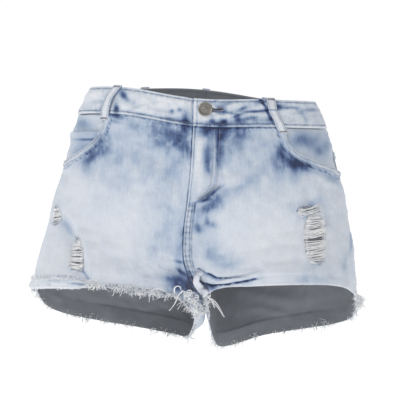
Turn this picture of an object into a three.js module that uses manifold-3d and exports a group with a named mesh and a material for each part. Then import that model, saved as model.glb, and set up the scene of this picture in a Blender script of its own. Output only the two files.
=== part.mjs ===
// Women's low-rise denim shorts with cut-off legs, standing open as they are worn.
// Millimetres. +X is the wearer's left, -Y the front and +Z up. The origin is the middle of the
// waist opening, on the line where the body holds the shorts up.
import * as THREE from "three";
import { mergeVertices } from "three/addons/utils/BufferGeometryUtils.js";
import Module from "manifold-3d";

const wasm = await Module();
wasm.setup();

// Cloth thicknesses and the gap left at every seam.
const DENIM = 1.5;
const BAND_OUT = 1.3; // how far the folded waistband stands out of the panels
const LAYER_GAP = 0.3;
const UNDER_PANEL = -(DENIM + 1); // lift of whatever lies right behind a panel
const HALF_GAP = 0.15;
const SIDE_SEAM_Y = 2; // the side seams and inseams lie in this plane
const WAIST_GAP = 0.0014; // 0.3 mm, in the panels' own scale from waist seam 0 to hem 1

// The rim of the waistband. One hip is higher than the other, so the shorts sit askew.
const RIM_HEIGHT = 3;
const TILT = 10; // the wearer's right hip is this much higher, and the left this much lower
const TILT_REACH = 150;
const FRONT_DIP = 7.5;
const FRONT_DIP_REACH = 110;
const BACK_RISE = 10;
const BAND_HEIGHT = 36.5;
const RIM_AT = -0.154; // the rim, in the panels' scale

// One row for each section from the rim to the hem. right and left are the half widths to the
// side seams, belly and seat the depths to the front and back, and legs says how far the
// section has parted into two legs.
const SECTIONS = [
  { at: RIM_AT, right: 147, left: 155, belly: 92, seat: 99, legs: 0 },
  { at: 0.0, right: 166, left: 171, belly: 101, seat: 112, legs: 0 },
  { at: 0.2, right: 177, left: 184, belly: 107, seat: 123, legs: 0 },
  { at: 0.4, right: 193, left: 196, belly: 107, seat: 130, legs: 0 },
  { at: 0.55, right: 203, left: 202, belly: 106, seat: 130, legs: 0.05 },
  { at: 0.68, right: 209, left: 207, belly: 105, seat: 126, legs: 0.25 },
  { at: 0.8, right: 218, left: 210, belly: 105, seat: 119, legs: 0.6 },
  { at: 0.92, right: 225, left: 212, belly: 106, seat: 110, legs: 1 },
  { at: 1.0, right: 229, left: 214, belly: 108, seat: 106, legs: 1 },
];

// The middle seam from the waist down to the crotch, in front and behind.
const CROTCH_AT = 0.93;
const CROTCH_Z = -292;
const RISE = [
  { at: RIM_AT, frontY: -92, frontZ: -4.5, backY: 99, backZ: 13 },
  { at: 0.0, frontY: -101, frontZ: -41, backY: 112, backZ: -23.5 },
  { at: 0.25, frontY: -107, frontZ: -97, backY: 124, backZ: -88 },
  { at: 0.5, frontY: -104, frontZ: -156, backY: 127, backZ: -155 },
  { at: 0.65, frontY: -94, frontZ: -199, backY: 116, backZ: -202 },
  { at: 0.78, frontY: -71, frontZ: -241, backY: 84, backZ: -249 },
  { at: 0.87, frontY: -39, frontZ: -270, backY: 44, backZ: -279 },
  { at: CROTCH_AT, frontY: 2, frontZ: CROTCH_Z, backY: 2, backZ: CROTCH_Z },
];
const INSEAM_SPREAD = { right: 15, left: 3 }; // how far each inseam has left the middle at the hem

// The middle seam isn't straight: it wanders across as it goes down.
const SWAY = {
  front: [
    { at: -310, x: 8 },
    { at: -292, x: 7 },
    { at: -270, x: -2 },
    { at: -240, x: -9 },
    { at: -213, x: -14 },
    { at: -175, x: -12 },
    { at: -140, x: -7 },
    { at: -95, x: -2.5 },
    { at: -40, x: 0 },
  ],
  back: [
    { at: -310, x: 8 },
    { at: -292, x: 7 },
    { at: -265, x: 2 },
    { at: -230, x: 0 },
    { at: -40, x: 0 },
  ],
};
const SWAY_REACH = 130; // it dies out this far from the middle

// Height of the cut hem, from the inseam 0 to the side seam 1.
const HEMS = {
  right: [
    { at: 0, front: -304, back: -304 },
    { at: 0.04, front: -286, back: -320 },
    { at: 0.09, front: -271, back: -330 },
    { at: 0.2, front: -262, back: -330 },
    { at: 0.35, front: -255, back: -325 },
    { at: 0.55, front: -248, back: -316 },
    { at: 0.75, front: -248, back: -303 },
    { at: 0.9, front: -253, back: -285 },
    { at: 1, front: -258, back: -258 },
  ],
  left: [
    { at: 0, front: -306, back: -306 },
    { at: 0.04, front: -285, back: -330 },
    { at: 0.09, front: -268, back: -343 },
    { at: 0.2, front: -255, back: -343 },
    { at: 0.35, front: -250, back: -334 },
    { at: 0.55, front: -247, back: -325 },
    { at: 0.75, front: -250, back: -314 },
    { at: 0.9, front: -262, back: -300 },
    { at: 1, front: -278, back: -278 },
  ],
};

// How full the plan of a section is: shares of the half width and of the depth.
const FLANK = 0.62;
const CORNER = 0.6;
const INNER_THIGH = 0.15;
const THIGH_ROUND = 4 / 3;
const LEVEL_OUT = 2.5; // how soon a row leaves the height of the middle seam

// The largest creases, across (x) and down (z) the front. depth is negative in a trough, and
// width is its half width.
const FRONT_FOLDS = [
  { name: "side wing", fromX: -184, fromZ: -158, toX: -160, toZ: -200, width: 10, depth: -7 },
  { name: "side wing hem", fromX: -160, fromZ: -200, toX: -138, toZ: -262, width: 9, depth: -8 },
  { name: "bulge over the wing", fromX: -166, fromZ: -158, toX: -140, toZ: -215, width: 10, depth: 4 },
  { name: "under the fly", fromX: 46, fromZ: -106, toX: 16, toZ: -134, width: 7, depth: -5 },
  { name: "fly bulge", fromX: 38, fromZ: -94, toX: 8, toZ: -120, width: 8, depth: 3 },
  { name: "pocket to fly", fromX: 124, fromZ: -66, toX: 50, toZ: -106, width: 9, depth: -2.5 },
  { name: "waist to fly", fromX: -76, fromZ: -52, toX: -12, toZ: -122, width: 8, depth: -2.5 },
  { name: "above the rolled hem", fromX: 26, fromZ: -226, toX: 92, toZ: -222, width: 7, depth: -2.5 },
  { name: "rolled hem", fromX: 24, fromZ: -243, toX: 92, toZ: -237, width: 8, depth: 3.5 },
  { name: "crotch drag", fromX: -58, fromZ: -240, toX: -6, toZ: -232, width: 8, depth: -5 },
  { name: "thigh drag", fromX: -118, fromZ: -212, toX: -40, toZ: -216, width: 8, depth: -2 },
];
const BACK_FOLDS = [
  { name: "left seat drag", fromX: 20, fromZ: -236, toX: 92, toZ: -262, width: 9, depth: -4 },
  { name: "left thigh drag", fromX: 34, fromZ: -268, toX: 128, toZ: -286, width: 8, depth: -3 },
  { name: "left hem flute", fromX: 150, fromZ: -238, toX: 146, toZ: -324, width: 12, depth: -5 },
  { name: "right seat drag", fromX: -18, fromZ: -230, toX: -86, toZ: -250, width: 9, depth: -4 },
  { name: "right thigh drag", fromX: -40, fromZ: -262, toX: -120, toZ: -272, width: 8, depth: -3 },
  { name: "right hem flute", fromX: -132, fromZ: -226, toX: -142, toZ: -318, width: 12, depth: -6 },
];

// The scooped mouth of each front pocket: distance from the middle and drop below the waist seam.
const MOUTH_START = 117;
const MOUTHS = {
  right: [
    { at: 117, drop: 0 },
    { at: 122, drop: 16 },
    { at: 129, drop: 29 },
    { at: 142, drop: 41 },
    { at: 160, drop: 52 },
    { at: 177, drop: 61 },
    { at: 192, drop: 68 },
  ],
  left: [
    { at: 117, drop: 0 },
    { at: 122, drop: 17 },
    { at: 129, drop: 27 },
    { at: 140, drop: 36 },
    { at: 154, drop: 42 },
    { at: 170, drop: 48 },
    { at: 182, drop: 53 },
    { at: 192, drop: 62 },
  ],
};
const FACING_BEHIND = 0.06; // how far the facing runs on behind the panel
const FACING_THICK = 1.2;

// The seat yoke's lower edge, from the middle seam to the side seam.
const YOKE_MIDDLE = 0.25;
const YOKE_SIDE = 0.13;

const SIDES = { left: 1, right: -1 }; // of the wearer
const MATERIALS = {
  denim: new THREE.MeshStandardMaterial({ color: 0xc9d3e0, roughness: 0.92, metalness: 0 }),
  facing: new THREE.MeshStandardMaterial({ color: 0xa9b9cf, roughness: 0.92, metalness: 0 }),
  fringe: new THREE.MeshStandardMaterial({ color: 0xe3e4e6, roughness: 0.95, metalness: 0 }),
  button: new THREE.MeshStandardMaterial({ color: 0x9c968f, roughness: 0.45, metalness: 0.85 }),
};

const mix = (a, b, t) => a + (b - a) * t;
const clamp = (x, low, high) => Math.min(high, Math.max(low, x));
const smooth = (t) => t * t * (3 - 2 * t);
const ramp = (x, from, to) => smooth(clamp((x - from) / (to - from), 0, 1));
const steps = (count) => Array.from({ length: count + 1 }, (_, i) => i / count);

// One column of a table at a place between its rows, on a smooth curve through them.
function read(table, column, at) {
  const last = table.length - 1;
  let i = 0;
  while (i < last - 1 && at > table[i + 1].at) i += 1;
  const slope = (j) => {
    const before = table[Math.max(0, j - 1)];
    const after = table[Math.min(last, j + 1)];
    return (after[column] - before[column]) / (after.at - before.at);
  };
  const span = table[i + 1].at - table[i].at;
  const t = clamp((at - table[i].at) / span, 0, 1);
  const a = table[i][column];
  const b = table[i + 1][column];
  return (
    mix(a, b, smooth(t)) +
    span * t * (1 - t) * ((1 - t) * slope(i) - t * slope(i + 1))
  );
}

const tilt = (x) => -TILT * Math.sin((Math.PI / 2) * clamp(x / TILT_REACH, -1, 1));
const crest = (x, reach) => Math.cos((Math.PI / 2) * clamp(x / reach, -1, 1)) ** 2;

function rimHeight(face, x) {
  const swing = face === "front" ? -FRONT_DIP * crest(x, FRONT_DIP_REACH) : BACK_RISE * crest(x, TILT_REACH);
  return RIM_HEIGHT + tilt(x) + swing;
}

// A panel is { side, face }: side "left" or "right" of the wearer, face "front" or "back".
// Its points are set by across, from the middle or inseam 0 to the side seam 1, and down, from
// the waist seam 0 to the hem 1, or to the rim above it.
function innerEdge(panel, down) {
  const seam = panel.face === "front" ? "front" : "back";
  const rise = Math.min(down, CROTCH_AT);
  const inseam = clamp((down - CROTCH_AT) / (1 - CROTCH_AT), 0, 1);
  return {
    x: HALF_GAP + INSEAM_SPREAD[panel.side] * inseam,
    y: read(RISE, `${seam}Y`, rise),
    z: mix(read(RISE, `${seam}Z`, rise), HEMS[panel.side][0][panel.face], inseam),
  };
}

function basePoint(panel, across, down) {
  const inner = innerEdge(panel, down);
  const front = panel.face === "front";
  const reach = read(SECTIONS, panel.side, down);
  const depth = (front ? -1 : 1) * read(SECTIONS, front ? "belly" : "seat", down);
  const legs = clamp(read(SECTIONS, "legs", down), 0, 1);
  const t = across;
  const s = 1 - t;
  const flankX = inner.x + mix(FLANK, INNER_THIGH, legs) * (reach - inner.x);
  const x = s * s * s * inner.x + 3 * s * s * t * flankX + (3 * s * t * t + t * t * t) * reach;
  const y =
    s * s * s * inner.y +
    3 * s * s * t * mix(inner.y, depth * THIGH_ROUND, legs) +
    3 * s * t * t * mix(CORNER, THIGH_ROUND, legs) * depth +
    t * t * t * SIDE_SEAM_Y;
  const signedX = SIDES[panel.side] * x;

  const rim = rimHeight(panel.face, signedX);
  const waist = rim - BAND_HEIGHT;
  if (down < 0) return new THREE.Vector3(signedX, y, mix(waist, rim, down / RIM_AT));
  const hemTable = HEMS[panel.side];
  const hem = read(hemTable, panel.face, t);
  const level = 1 - s ** LEVEL_OUT;
  const waistIn = read(RISE, `${panel.face}Z`, 0);
  const waistOut = RIM_HEIGHT - BAND_HEIGHT + tilt(SIDES[panel.side] * TILT_REACH);
  const hemIn = hemTable[0][panel.face];
  const hemOut = hemTable[hemTable.length - 1][panel.face];
  const z =
    mix(inner.z, mix(waistOut, hemOut, down), level) +
    (1 - down) * (waist - mix(waistIn, waistOut, level)) +
    down * (hem - mix(hemIn, hemOut, level));
  return new THREE.Vector3(signedX, y, z);
}

const STEP = 0.004;
function normalOf(surface, across, down) {
  const a = surface(Math.min(1, across + STEP), down);
  const b = surface(Math.max(0, across - STEP), down);
  const c = surface(across, Math.min(1, down + STEP));
  const d = surface(across, Math.max(RIM_AT, down - STEP));
  return a.sub(b).cross(c.sub(d)).normalize();
}

// How far a crease moves the cloth at a place seen square from the front or back.
function foldLift(folds, x, z) {
  let lift = 0;
  for (const fold of folds) {
    const alongX = fold.toX - fold.fromX;
    const alongZ = fold.toZ - fold.fromZ;
    const length = Math.hypot(alongX, alongZ);
    const along = ((x - fold.fromX) * alongX + (z - fold.fromZ) * alongZ) / length;
    const aside = ((x - fold.fromX) * alongZ - (z - fold.fromZ) * alongX) / length;
    const ends = ramp(along, -fold.width, fold.width) * (1 - ramp(along, length - fold.width, length + fold.width));
    lift += fold.depth * ends * Math.exp(-((aside / fold.width) ** 2));
  }
  return lift;
}

// The draped face of a panel, folds and all.
function drape(panel) {
  const base = (across, down) => basePoint(panel, across, down);
  const outward = panel.face === "front" ? -SIDES[panel.side] : SIDES[panel.side];
  const folds = panel.face === "front" ? FRONT_FOLDS : BACK_FOLDS;
  const draped = (across, down) => {
    const p = base(across, down);
    if (down <= 0) return p;
    const lift = foldLift(folds, p.x, p.z);
    return Math.abs(lift) < 0.01 ? p : p.addScaledVector(normalOf(base, across, down), outward * lift);
  };
  return {
    point: draped,
    normal: (across, down) => normalOf(draped, across, down).multiplyScalar(outward),
  };
}

const DRAPES = {};
for (const side of Object.keys(SIDES)) {
  for (const face of ["front", "back"]) DRAPES[`${face}_${side}`] = drape({ side, face });
}

// A point of a panel, moved out by lift. It never leaves its own quarter of the garment, so the
// pieces stay apart at the seams.
function cloth(side, face, across, down, lift) {
  const { point, normal } = DRAPES[`${face}_${side}`];
  const p = point(across, down).addScaledVector(normal(across, down), lift);
  p.x = SIDES[side] * Math.max(HALF_GAP, SIDES[side] * p.x);
  p.y = face === "front" ? Math.min(p.y, SIDE_SEAM_Y - HALF_GAP) : Math.max(p.y, SIDE_SEAM_Y + HALF_GAP);
  p.x += read(SWAY[face], "x", clamp(p.z, -310, -40)) * crest(p.x, SWAY_REACH);
  return p;
}

// The place across a panel that lies at a distance from the middle.
function acrossAt(side, face, distance, down) {
  let low = 0;
  let high = 1;
  for (let i = 0; i < 30; i += 1) {
    const middle = (low + high) / 2;
    if (Math.abs(basePoint({ side, face }, middle, down).x) < distance) low = middle;
    else high = middle;
  }
  return (low + high) / 2;
}

// The place down a panel that lies a drop below the waist seam.
function downAt(side, face, across, drop) {
  const panel = { side, face };
  const waist = basePoint(panel, across, 0).z;
  let low = RIM_AT;
  let high = 1;
  for (let i = 0; i < 30; i += 1) {
    const middle = (low + high) / 2;
    if (waist - basePoint(panel, across, middle).z < drop) low = middle;
    else high = middle;
  }
  return (low + high) / 2;
}

// A closed wall between two grids of points, outer[row][column] and inner[row][column], where
// rows run down and columns run to the right as seen from outside.
function wall(outer, inner) {
  const rows = outer.length;
  const columns = outer[0].length;
  const points = [...outer.flat(), ...inner.flat()];
  const at = (layer, row, column) => layer * rows * columns + row * columns + column;
  const faces = [];
  const quad = (a, b, c, d) => faces.push(a, b, c, a, c, d);
  for (let r = 0; r < rows - 1; r += 1) {
    for (let c = 0; c < columns - 1; c += 1) {
      quad(at(0, r, c), at(0, r + 1, c), at(0, r + 1, c + 1), at(0, r, c + 1));
      quad(at(1, r, c), at(1, r, c + 1), at(1, r + 1, c + 1), at(1, r + 1, c));
    }
  }
  for (let c = 0; c < columns - 1; c += 1) {
    quad(at(0, 0, c), at(0, 0, c + 1), at(1, 0, c + 1), at(1, 0, c));
    quad(at(0, rows - 1, c), at(1, rows - 1, c), at(1, rows - 1, c + 1), at(0, rows - 1, c + 1));
  }
  for (let r = 0; r < rows - 1; r += 1) {
    quad(at(0, r, 0), at(1, r, 0), at(1, r + 1, 0), at(0, r + 1, 0));
    quad(at(0, r, columns - 1), at(0, r + 1, columns - 1), at(1, r + 1, columns - 1), at(1, r, columns - 1));
  }
  const geometry = new THREE.BufferGeometry();
  geometry.setAttribute("position", new THREE.Float32BufferAttribute(points.flatMap((p) => p.toArray()), 3));
  geometry.setIndex(faces);
  return geometry;
}

// Seen from outside, across runs to the right on the front left and the back right.
const runsRight = (side, face) => (side === "left") === (face === "front");

// A wall on one panel, from lists of places across and a function that gives the rows down.
function panelWall(side, face, acrossList, downList, outerLift, innerLift) {
  const order = runsRight(side, face) ? acrossList : [...acrossList].reverse();
  const grid = (lift) =>
    steps(downList.count).map((share) =>
      order.map((across) => {
        const down = mix(downList.top(across), downList.bottom(across), share);
        return cloth(side, face, across, down, lift(across, down));
      }),
    );
  return wall(grid(outerLift), grid(innerLift));
}

function toSolid(geometry) {
  const bare = new THREE.BufferGeometry();
  bare.setAttribute("position", geometry.getAttribute("position"));
  bare.setIndex(geometry.getIndex());
  const merged = mergeVertices(bare, 1e-4);
  return new wasm.Manifold(
    new wasm.Mesh({
      numProp: 3,
      vertProperties: new Float32Array(merged.getAttribute("position").array),
      triVerts: new Uint32Array(merged.getIndex().array),
    }),
  );
}

function toGeometry(solid) {
  const mesh = solid.getMesh();
  const geometry = new THREE.BufferGeometry();
  geometry.setAttribute("position", new THREE.BufferAttribute(new Float32Array(mesh.vertProperties), 3));
  geometry.setIndex(new THREE.BufferAttribute(new Uint32Array(mesh.triVerts), 1));
  return geometry;
}

const shorts = new THREE.Group();
function add(name, geometry, material) {
  geometry.computeVertexNormals();
  const mesh = new THREE.Mesh(geometry, MATERIALS[material]);
  mesh.name = name;
  shorts.add(mesh);
}

// Front panels, with the fly's doubled cloth and the felled middle seam raised on the left one.
const FLY_WIDTH = 31;
const FLY_BOTTOM = -140; // height at which the fly's stitching meets the middle seam
const FLY_CURVE = 34; // the lower end of the fly curves in over this height
const FLY_RAISE = 1.0;
const FELL_WIDTH = 9.5;
const FELL_RAISE = 1.2;
const CUFF_RAISE = 1.6; // the turned-up hem on the wearer's right

function flyEdge(z) {
  const share = clamp((z - FLY_BOTTOM) / FLY_CURVE, 0, 1);
  return FLY_WIDTH * Math.sqrt(1 - (1 - share) ** 2);
}

function frontRelief(side, across, down) {
  const p = DRAPES[`front_${side}`].point(across, down);
  if (side === "right") {
    const cuff = ramp(down, 0.93, 0.95) * ramp(across, 0.6, 0.68) * CUFF_RAISE;
    return cuff;
  }
  const fly = p.z > FLY_BOTTOM ? FLY_RAISE * (1 - ramp(p.x, flyEdge(p.z) - 1, flyEdge(p.z) + 1)) : 0;
  const fell = p.z <= FLY_BOTTOM && down < CROTCH_AT ? FELL_RAISE * (1 - ramp(p.x, FELL_WIDTH - 1, FELL_WIDTH + 1)) : 0;
  return Math.max(fly, fell);
}

// Where the pocket mouth cuts the panel at each place across.
function mouthDown(side, across) {
  const panel = { side, face: "front" };
  const waist = basePoint(panel, across, 0).z;
  if (Math.abs(basePoint(panel, across, 0).x) <= MOUTH_START) return 0;
  let low = 0;
  let high = 0.6;
  for (let i = 0; i < 30; i += 1) {
    const middle = (low + high) / 2;
    const p = basePoint(panel, across, middle);
    if (waist - p.z < read(MOUTHS[side], "drop", Math.abs(p.x))) low = middle;
    else high = middle;
  }
  return low;
}

const frontColumns = {};
for (const side of Object.keys(SIDES)) {
  const start = acrossAt(side, "front", MOUTH_START, 0);
  const seam = [0, 0.015, 0.03, 0.045, 0.065];
  const middle = steps(10).map((t) => mix(0.09, start, t));
  const mouth = steps(9).slice(1).map((t) => mix(start, 1, t ** 1.5));
  frontColumns[side] = [...seam, ...middle, ...mouth];
}

// Rips: holes worn through the warp, crossed by what is left of the weft, so each is a row of
// slots. x and z place its middle, lean is in degrees, and the slots are wide ovals.
const RIPS = [
  { name: "left thigh", side: "left", face: "front", x: 159, drop: 141, width: 30, length: 68, slots: 9, lean: 5 },
  { name: "right thigh", side: "right", face: "front", x: 155, drop: 184, width: 18, length: 46, slots: 6, lean: 3 },
  { name: "right hip", side: "right", face: "front", x: 190, drop: 136, width: 14, length: 22, slots: 3, lean: -8 },
  { name: "left hip", side: "left", face: "back", x: 198, drop: 156, width: 14, length: 24, slots: 3, lean: 4 },
];
const SLOT_HEIGHT = 4.6;

function ripCutters(rip) {
  const { normal } = DRAPES[`${rip.face}_${rip.side}`];
  let down = downAt(rip.side, rip.face, 0.7, rip.drop);
  let across = 0.7;
  for (let i = 0; i < 6; i += 1) {
    across = acrossAt(rip.side, rip.face, rip.x, down);
    down = downAt(rip.side, rip.face, across, rip.drop);
  }
  const centre = cloth(rip.side, rip.face, across, down, 0);
  const out = normal(across, down);
  const sideways = new THREE.Vector3(0, 0, 1).cross(out).normalize();
  const frame = new THREE.Matrix4().makeBasis(sideways, new THREE.Vector3().crossVectors(out, sideways), out);
  frame.setPosition(centre);
  return steps(rip.slots - 1).map((share) => {
    const along = (share - 0.5) * (rip.length - SLOT_HEIGHT);
    const width = rip.width * Math.sqrt(1 - (1.7 * (share - 0.5)) ** 2);
    const slot = new THREE.CylinderGeometry(SLOT_HEIGHT / 2, SLOT_HEIGHT / 2, 16, 8);
    slot.rotateX(Math.PI / 2);
    slot.scale(width / SLOT_HEIGHT, 1, 1);
    slot.translate(along * Math.tan(THREE.MathUtils.degToRad(rip.lean)), along, 0);
    slot.applyMatrix4(frame);
    return toSolid(slot);
  });
}

function ripped(geometry, side, face) {
  let solid = toSolid(geometry);
  for (const rip of RIPS.filter((r) => r.side === side && r.face === face)) {
    for (const cutter of ripCutters(rip)) solid = solid.subtract(cutter);
  }
  return toGeometry(solid);
}

for (const side of Object.keys(SIDES)) {
  const rows = { count: 17, top: (across) => mouthDown(side, across), bottom: () => 1 };
  const panel = panelWall(
    side,
    "front",
    frontColumns[side],
    rows,
    (across, down) => frontRelief(side, across, down),
    () => -DENIM,
  );
  add(`front_${side}`, ripped(panel, side, "front"), "denim");
}

// Back panels below a shaped yoke.
const yokeDown = (across) => mix(YOKE_MIDDLE, YOKE_SIDE, across);
const backColumns = [0, 0.02, 0.045, 0.075, ...steps(14).map((t) => mix(0.115, 1, t))];
for (const side of Object.keys(SIDES)) {
  const rows = { count: 15, top: (across) => yokeDown(across) + WAIST_GAP, bottom: () => 1 };
  const panel = panelWall(side, "back", backColumns, rows, () => 0, () => -DENIM);
  add(`back_${side}`, ripped(panel, side, "back"), "denim");
  const yokeRows = { count: 3, top: () => 0, bottom: yokeDown };
  add(`yoke_${side}`, panelWall(side, "back", backColumns, yokeRows, () => 0, () => -DENIM), "denim");
}

// Pocket facings, which show in the pocket mouths and run on behind the front panels.
function facingLift(side, across, down) {
  const mouth = mouthDown(side, across);
  const towardsSeam = ramp(across, 0.82, 0.98);
  const clearOfPanel = 1 - ramp(down, mouth - 0.13, mouth - 0.04);
  return UNDER_PANEL + (-UNDER_PANEL - 0.2) * towardsSeam * clearOfPanel;
}
for (const side of Object.keys(SIDES)) {
  const start = acrossAt(side, "front", MOUTH_START, 0);
  const columns = [start - 0.04, start - 0.02, ...frontColumns[side].filter((across) => across >= start)];
  const rows = { count: 8, top: () => WAIST_GAP, bottom: (across) => mouthDown(side, across) + FACING_BEHIND };
  const outer = (across, down) => facingLift(side, across, down);
  const inner = (across, down) => facingLift(side, across, down) - FACING_THICK;
  add(`pocket_facing_${side}`, panelWall(side, "front", columns, rows, outer, inner), "facing");
}

// The coin pocket, a small patch on the wearer's right facing.
const COIN_TOP_DROP = 24;
const COIN_INNER = 135; // distance from the middle of its inner edge
const COIN_SEAM = 0.985;
{
  const start = acrossAt("right", "front", COIN_INNER, 0.2);
  const columns = steps(7).map((t) => mix(start, COIN_SEAM, t ** 0.8));
  const top = (across) => downAt("right", "front", across, COIN_TOP_DROP);
  const rows = { count: 4, top, bottom: (across) => mouthDown("right", across) - 0.004 };
  const floor = (across, down) => facingLift("right", across, down) + 3 * LAYER_GAP;
  const outer = (across, down) => floor(across, down) + 0.9;
  add("coin_pocket", panelWall("right", "front", columns, rows, outer, floor), "denim");
}

// The waistband, a folded strip in two halves that meet at the middle of the back. The end of
// the right half steps in and runs on behind the left half, and carries the button.
const UNDERLAP = 37;
const STEP_IN = -(BAND_OUT + DENIM + LAYER_GAP);
const STEP_REACH = 14; // the right half steps in over this distance
const bandRows = [RIM_AT, RIM_AT * 0.5, -WAIST_GAP];

function bandGrid(stations, lift) {
  return bandRows.map((down) =>
    stations.map(({ side, face, across }) => {
      const p = DRAPES[`${face}_${side}`].point(across, down);
      const out = DRAPES[`${face}_${side}`].normal(across, down);
      return p.addScaledVector(out, lift(p.x, p.y, side));
    }),
  );
}

function bandStations(side) {
  const front = steps(16).map((across) => ({ side, face: "front", across }));
  const back = steps(16).slice(0, -1).reverse().map((across) => ({ side, face: "back", across }));
  return [...front, ...back];
}

{
  // Seen from outside the left half runs to the right from the middle of the front.
  const clear = (grid, sign) =>
    grid.map((row) => row.map((p) => new THREE.Vector3(sign * Math.max(HALF_GAP, sign * p.x), p.y, p.z)));
  const left = bandStations("left");
  const leftOut = clear(bandGrid(left, () => BAND_OUT), 1);
  const leftIn = clear(bandGrid(left, () => -DENIM), 1);
  const end = acrossAt("left", "front", UNDERLAP, RIM_AT / 2);
  const lap = steps(4).slice(0, -1).map((t) => ({ side: "left", face: "front", across: mix(end, 0, t) }));
  const body = bandStations("right");
  const fine = steps(5).map((t) => ({ side: "right", face: "front", across: t / 8 }));
  const right = [...lap, ...fine, ...body.slice(3)].reverse();
  const stepIn = (x, y) => (y < 0 ? STEP_IN * ramp(x, -STEP_REACH, -1) : 0);
  const atBack = (p) => p.y > 0 && Math.abs(p.x) < HALF_GAP;
  const open = (grid) =>
    grid.map((row) => row.map((p) => (atBack(p) ? new THREE.Vector3(-HALF_GAP, p.y, p.z) : p)));
  const rightOut = open(bandGrid(right, (x, y) => BAND_OUT + stepIn(x, y)));
  const rightIn = open(bandGrid(right, (x, y) => -DENIM + stepIn(x, y)));

  // The buttonhole is a slot with a wider eye, cut through the left half.
  const BUTTON_X = 15.5;
  const BUTTON_DROP = -22.5; // above the waist seam
  const across = acrossAt("left", "front", BUTTON_X, RIM_AT / 2);
  const down = downAt("left", "front", across, BUTTON_DROP);
  const seat = cloth("left", "front", across, down, 0);
  const out = DRAPES.front_left.normal(across, down);
  const turn = new THREE.Quaternion().setFromUnitVectors(new THREE.Vector3(0, 0, 1), out);
  const placed = (geometry) => geometry.applyQuaternion(turn).translate(seat.x, seat.y, seat.z);
  const HOLE_LENGTH = 23;
  const EYE_RADIUS = 3.2;
  const eye = toSolid(placed(new THREE.CylinderGeometry(EYE_RADIUS, EYE_RADIUS, 12, 12).rotateX(Math.PI / 2)));
  const slit = toSolid(placed(new THREE.BoxGeometry(HOLE_LENGTH, 2.4, 12).translate(HOLE_LENGTH / 2, 0, 0)));
  const leftBand = toSolid(wall(leftOut, leftIn)).subtract(eye).subtract(slit);
  add("waistband_left", toGeometry(leftBand), "denim");
  add("waistband_right", wall(rightOut, rightIn), "denim");

  // The button: a domed head with a raised rim and a sunk middle, on a shank that goes through
  // the eye to the end of the right half.
  const head = BAND_OUT + LAYER_GAP;
  const foot = -(DENIM - 0.1);
  const profile = [
    [0, foot],
    [2.4, foot],
    [2.4, head],
    [8.4, head],
    [9, head + 0.8],
    [8.8, head + 2.2],
    [7.6, head + 2.9],
    [6.6, head + 2.3],
    [3.4, head + 2.1],
    [2.4, head + 2.6],
    [0, head + 2.8],
  ].map(([radius, height]) => new THREE.Vector2(radius, height));
  const button = new THREE.LatheGeometry(profile, 24).rotateX(Math.PI / 2);
  add("button", toGeometry(toSolid(placed(button))), "button");
}

// Belt loops: narrow folded straps tacked at the rim and just below the waist seam. They stand
// off the band between the tacks.
const LOOP_HALF_WIDTH = 5.8;
const LOOP_THICK = 1.8;
const LOOP_STAND = 3.0;
const LOOPS = [
  { name: "belt_loop_front_left", side: "left", face: "front", rimX: 98, middleX: 101, endX: 116 },
  { name: "belt_loop_front_right", side: "right", face: "front", rimX: 101, middleX: 112, endX: 120 },
  { name: "belt_loop_back_left", side: "left", face: "back", rimX: 84, middleX: 88, endX: 93 },
  { name: "belt_loop_back_right", side: "right", face: "back", rimX: 84, middleX: 88, endX: 93 },
  { name: "belt_loop_back_middle", side: "left", face: "back", rimX: 0, middleX: 0, endX: 0 },
];
const LOOP_TOP = RIM_AT - 0.004;
const LOOP_BOTTOM = 0.04;

function loopPoint(loop, share, aside, thick) {
  const down = mix(LOOP_TOP, LOOP_BOTTOM, share);
  const at = clamp(down, RIM_AT, LOOP_BOTTOM);
  const x = share < 0.4 ? mix(loop.rimX, loop.middleX, share / 0.4) : mix(loop.middleX, loop.endX, (share - 0.4) / 0.6);
  const place = x + aside;
  const side = place < 0 ? "right" : loop.side;
  const across = acrossAt(side, loop.face, Math.abs(place), at);
  const { point, normal } = DRAPES[`${loop.face}_${side}`];
  const onBand = 1 - ramp(down, -0.012, 0.012);
  const floor = mix(0, BAND_OUT, onBand) + LAYER_GAP;
  const arch = Math.sin(Math.PI * clamp((share - 0.06) / 0.88, 0, 1)) ** 0.7;
  const p = point(across, at).addScaledVector(normal(across, at), floor + LOOP_STAND * arch + thick);
  p.z += (at - down) * (BAND_HEIGHT / -RIM_AT);
  return p;
}

for (const loop of LOOPS) {
  // Seen from outside, larger distances from the middle lie to the right or to the left.
  const turn = runsRight(loop.side, loop.face) ? 1 : -1;
  const columns = [-1, 0, 1].map((c) => c * turn * LOOP_HALF_WIDTH);
  const grid = (thick) => steps(12).map((share) => columns.map((aside) => loopPoint(loop, share, aside, thick)));
  add(loop.name, wall(grid(LOOP_THICK), grid(0)), "denim");
}

// Fringe: loose weft and warp ends at the cut hems. Each run hangs from a narrow strip just
// below the edge. length is the longest strand and curl how far the ends stray.
const STRIP = 2.4;
const STRIP_GAP = 0.5;
const STRIP_LIFT = -0.3;
const STRIP_THICK = 0.8;
const FRINGES = [
  { name: "fringe_front_right", side: "right", face: "front", from: 0.004, to: 0.996, count: 42, length: 10, curl: 0.7 },
  { name: "fringe_front_left_side", side: "left", face: "front", from: 0.86, to: 0.996, count: 8, length: 9, curl: 0.7 },
  { name: "fringe_front_left_crotch", side: "left", face: "front", from: 0.004, to: 0.1, count: 8, length: 15, curl: 0.9 },
  { name: "fringe_back_right", side: "right", face: "back", from: 0.004, to: 0.996, count: 36, length: 8, curl: 0.6 },
  { name: "fringe_back_left", side: "left", face: "back", from: 0.004, to: 0.996, count: 36, length: 8, curl: 0.6 },
];

// A small repeatable random sequence between 0 and 1.
function dice(seed) {
  let state = seed;
  return () => {
    state = (state * 16807) % 2147483647;
    return state / 2147483647;
  };
}

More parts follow.
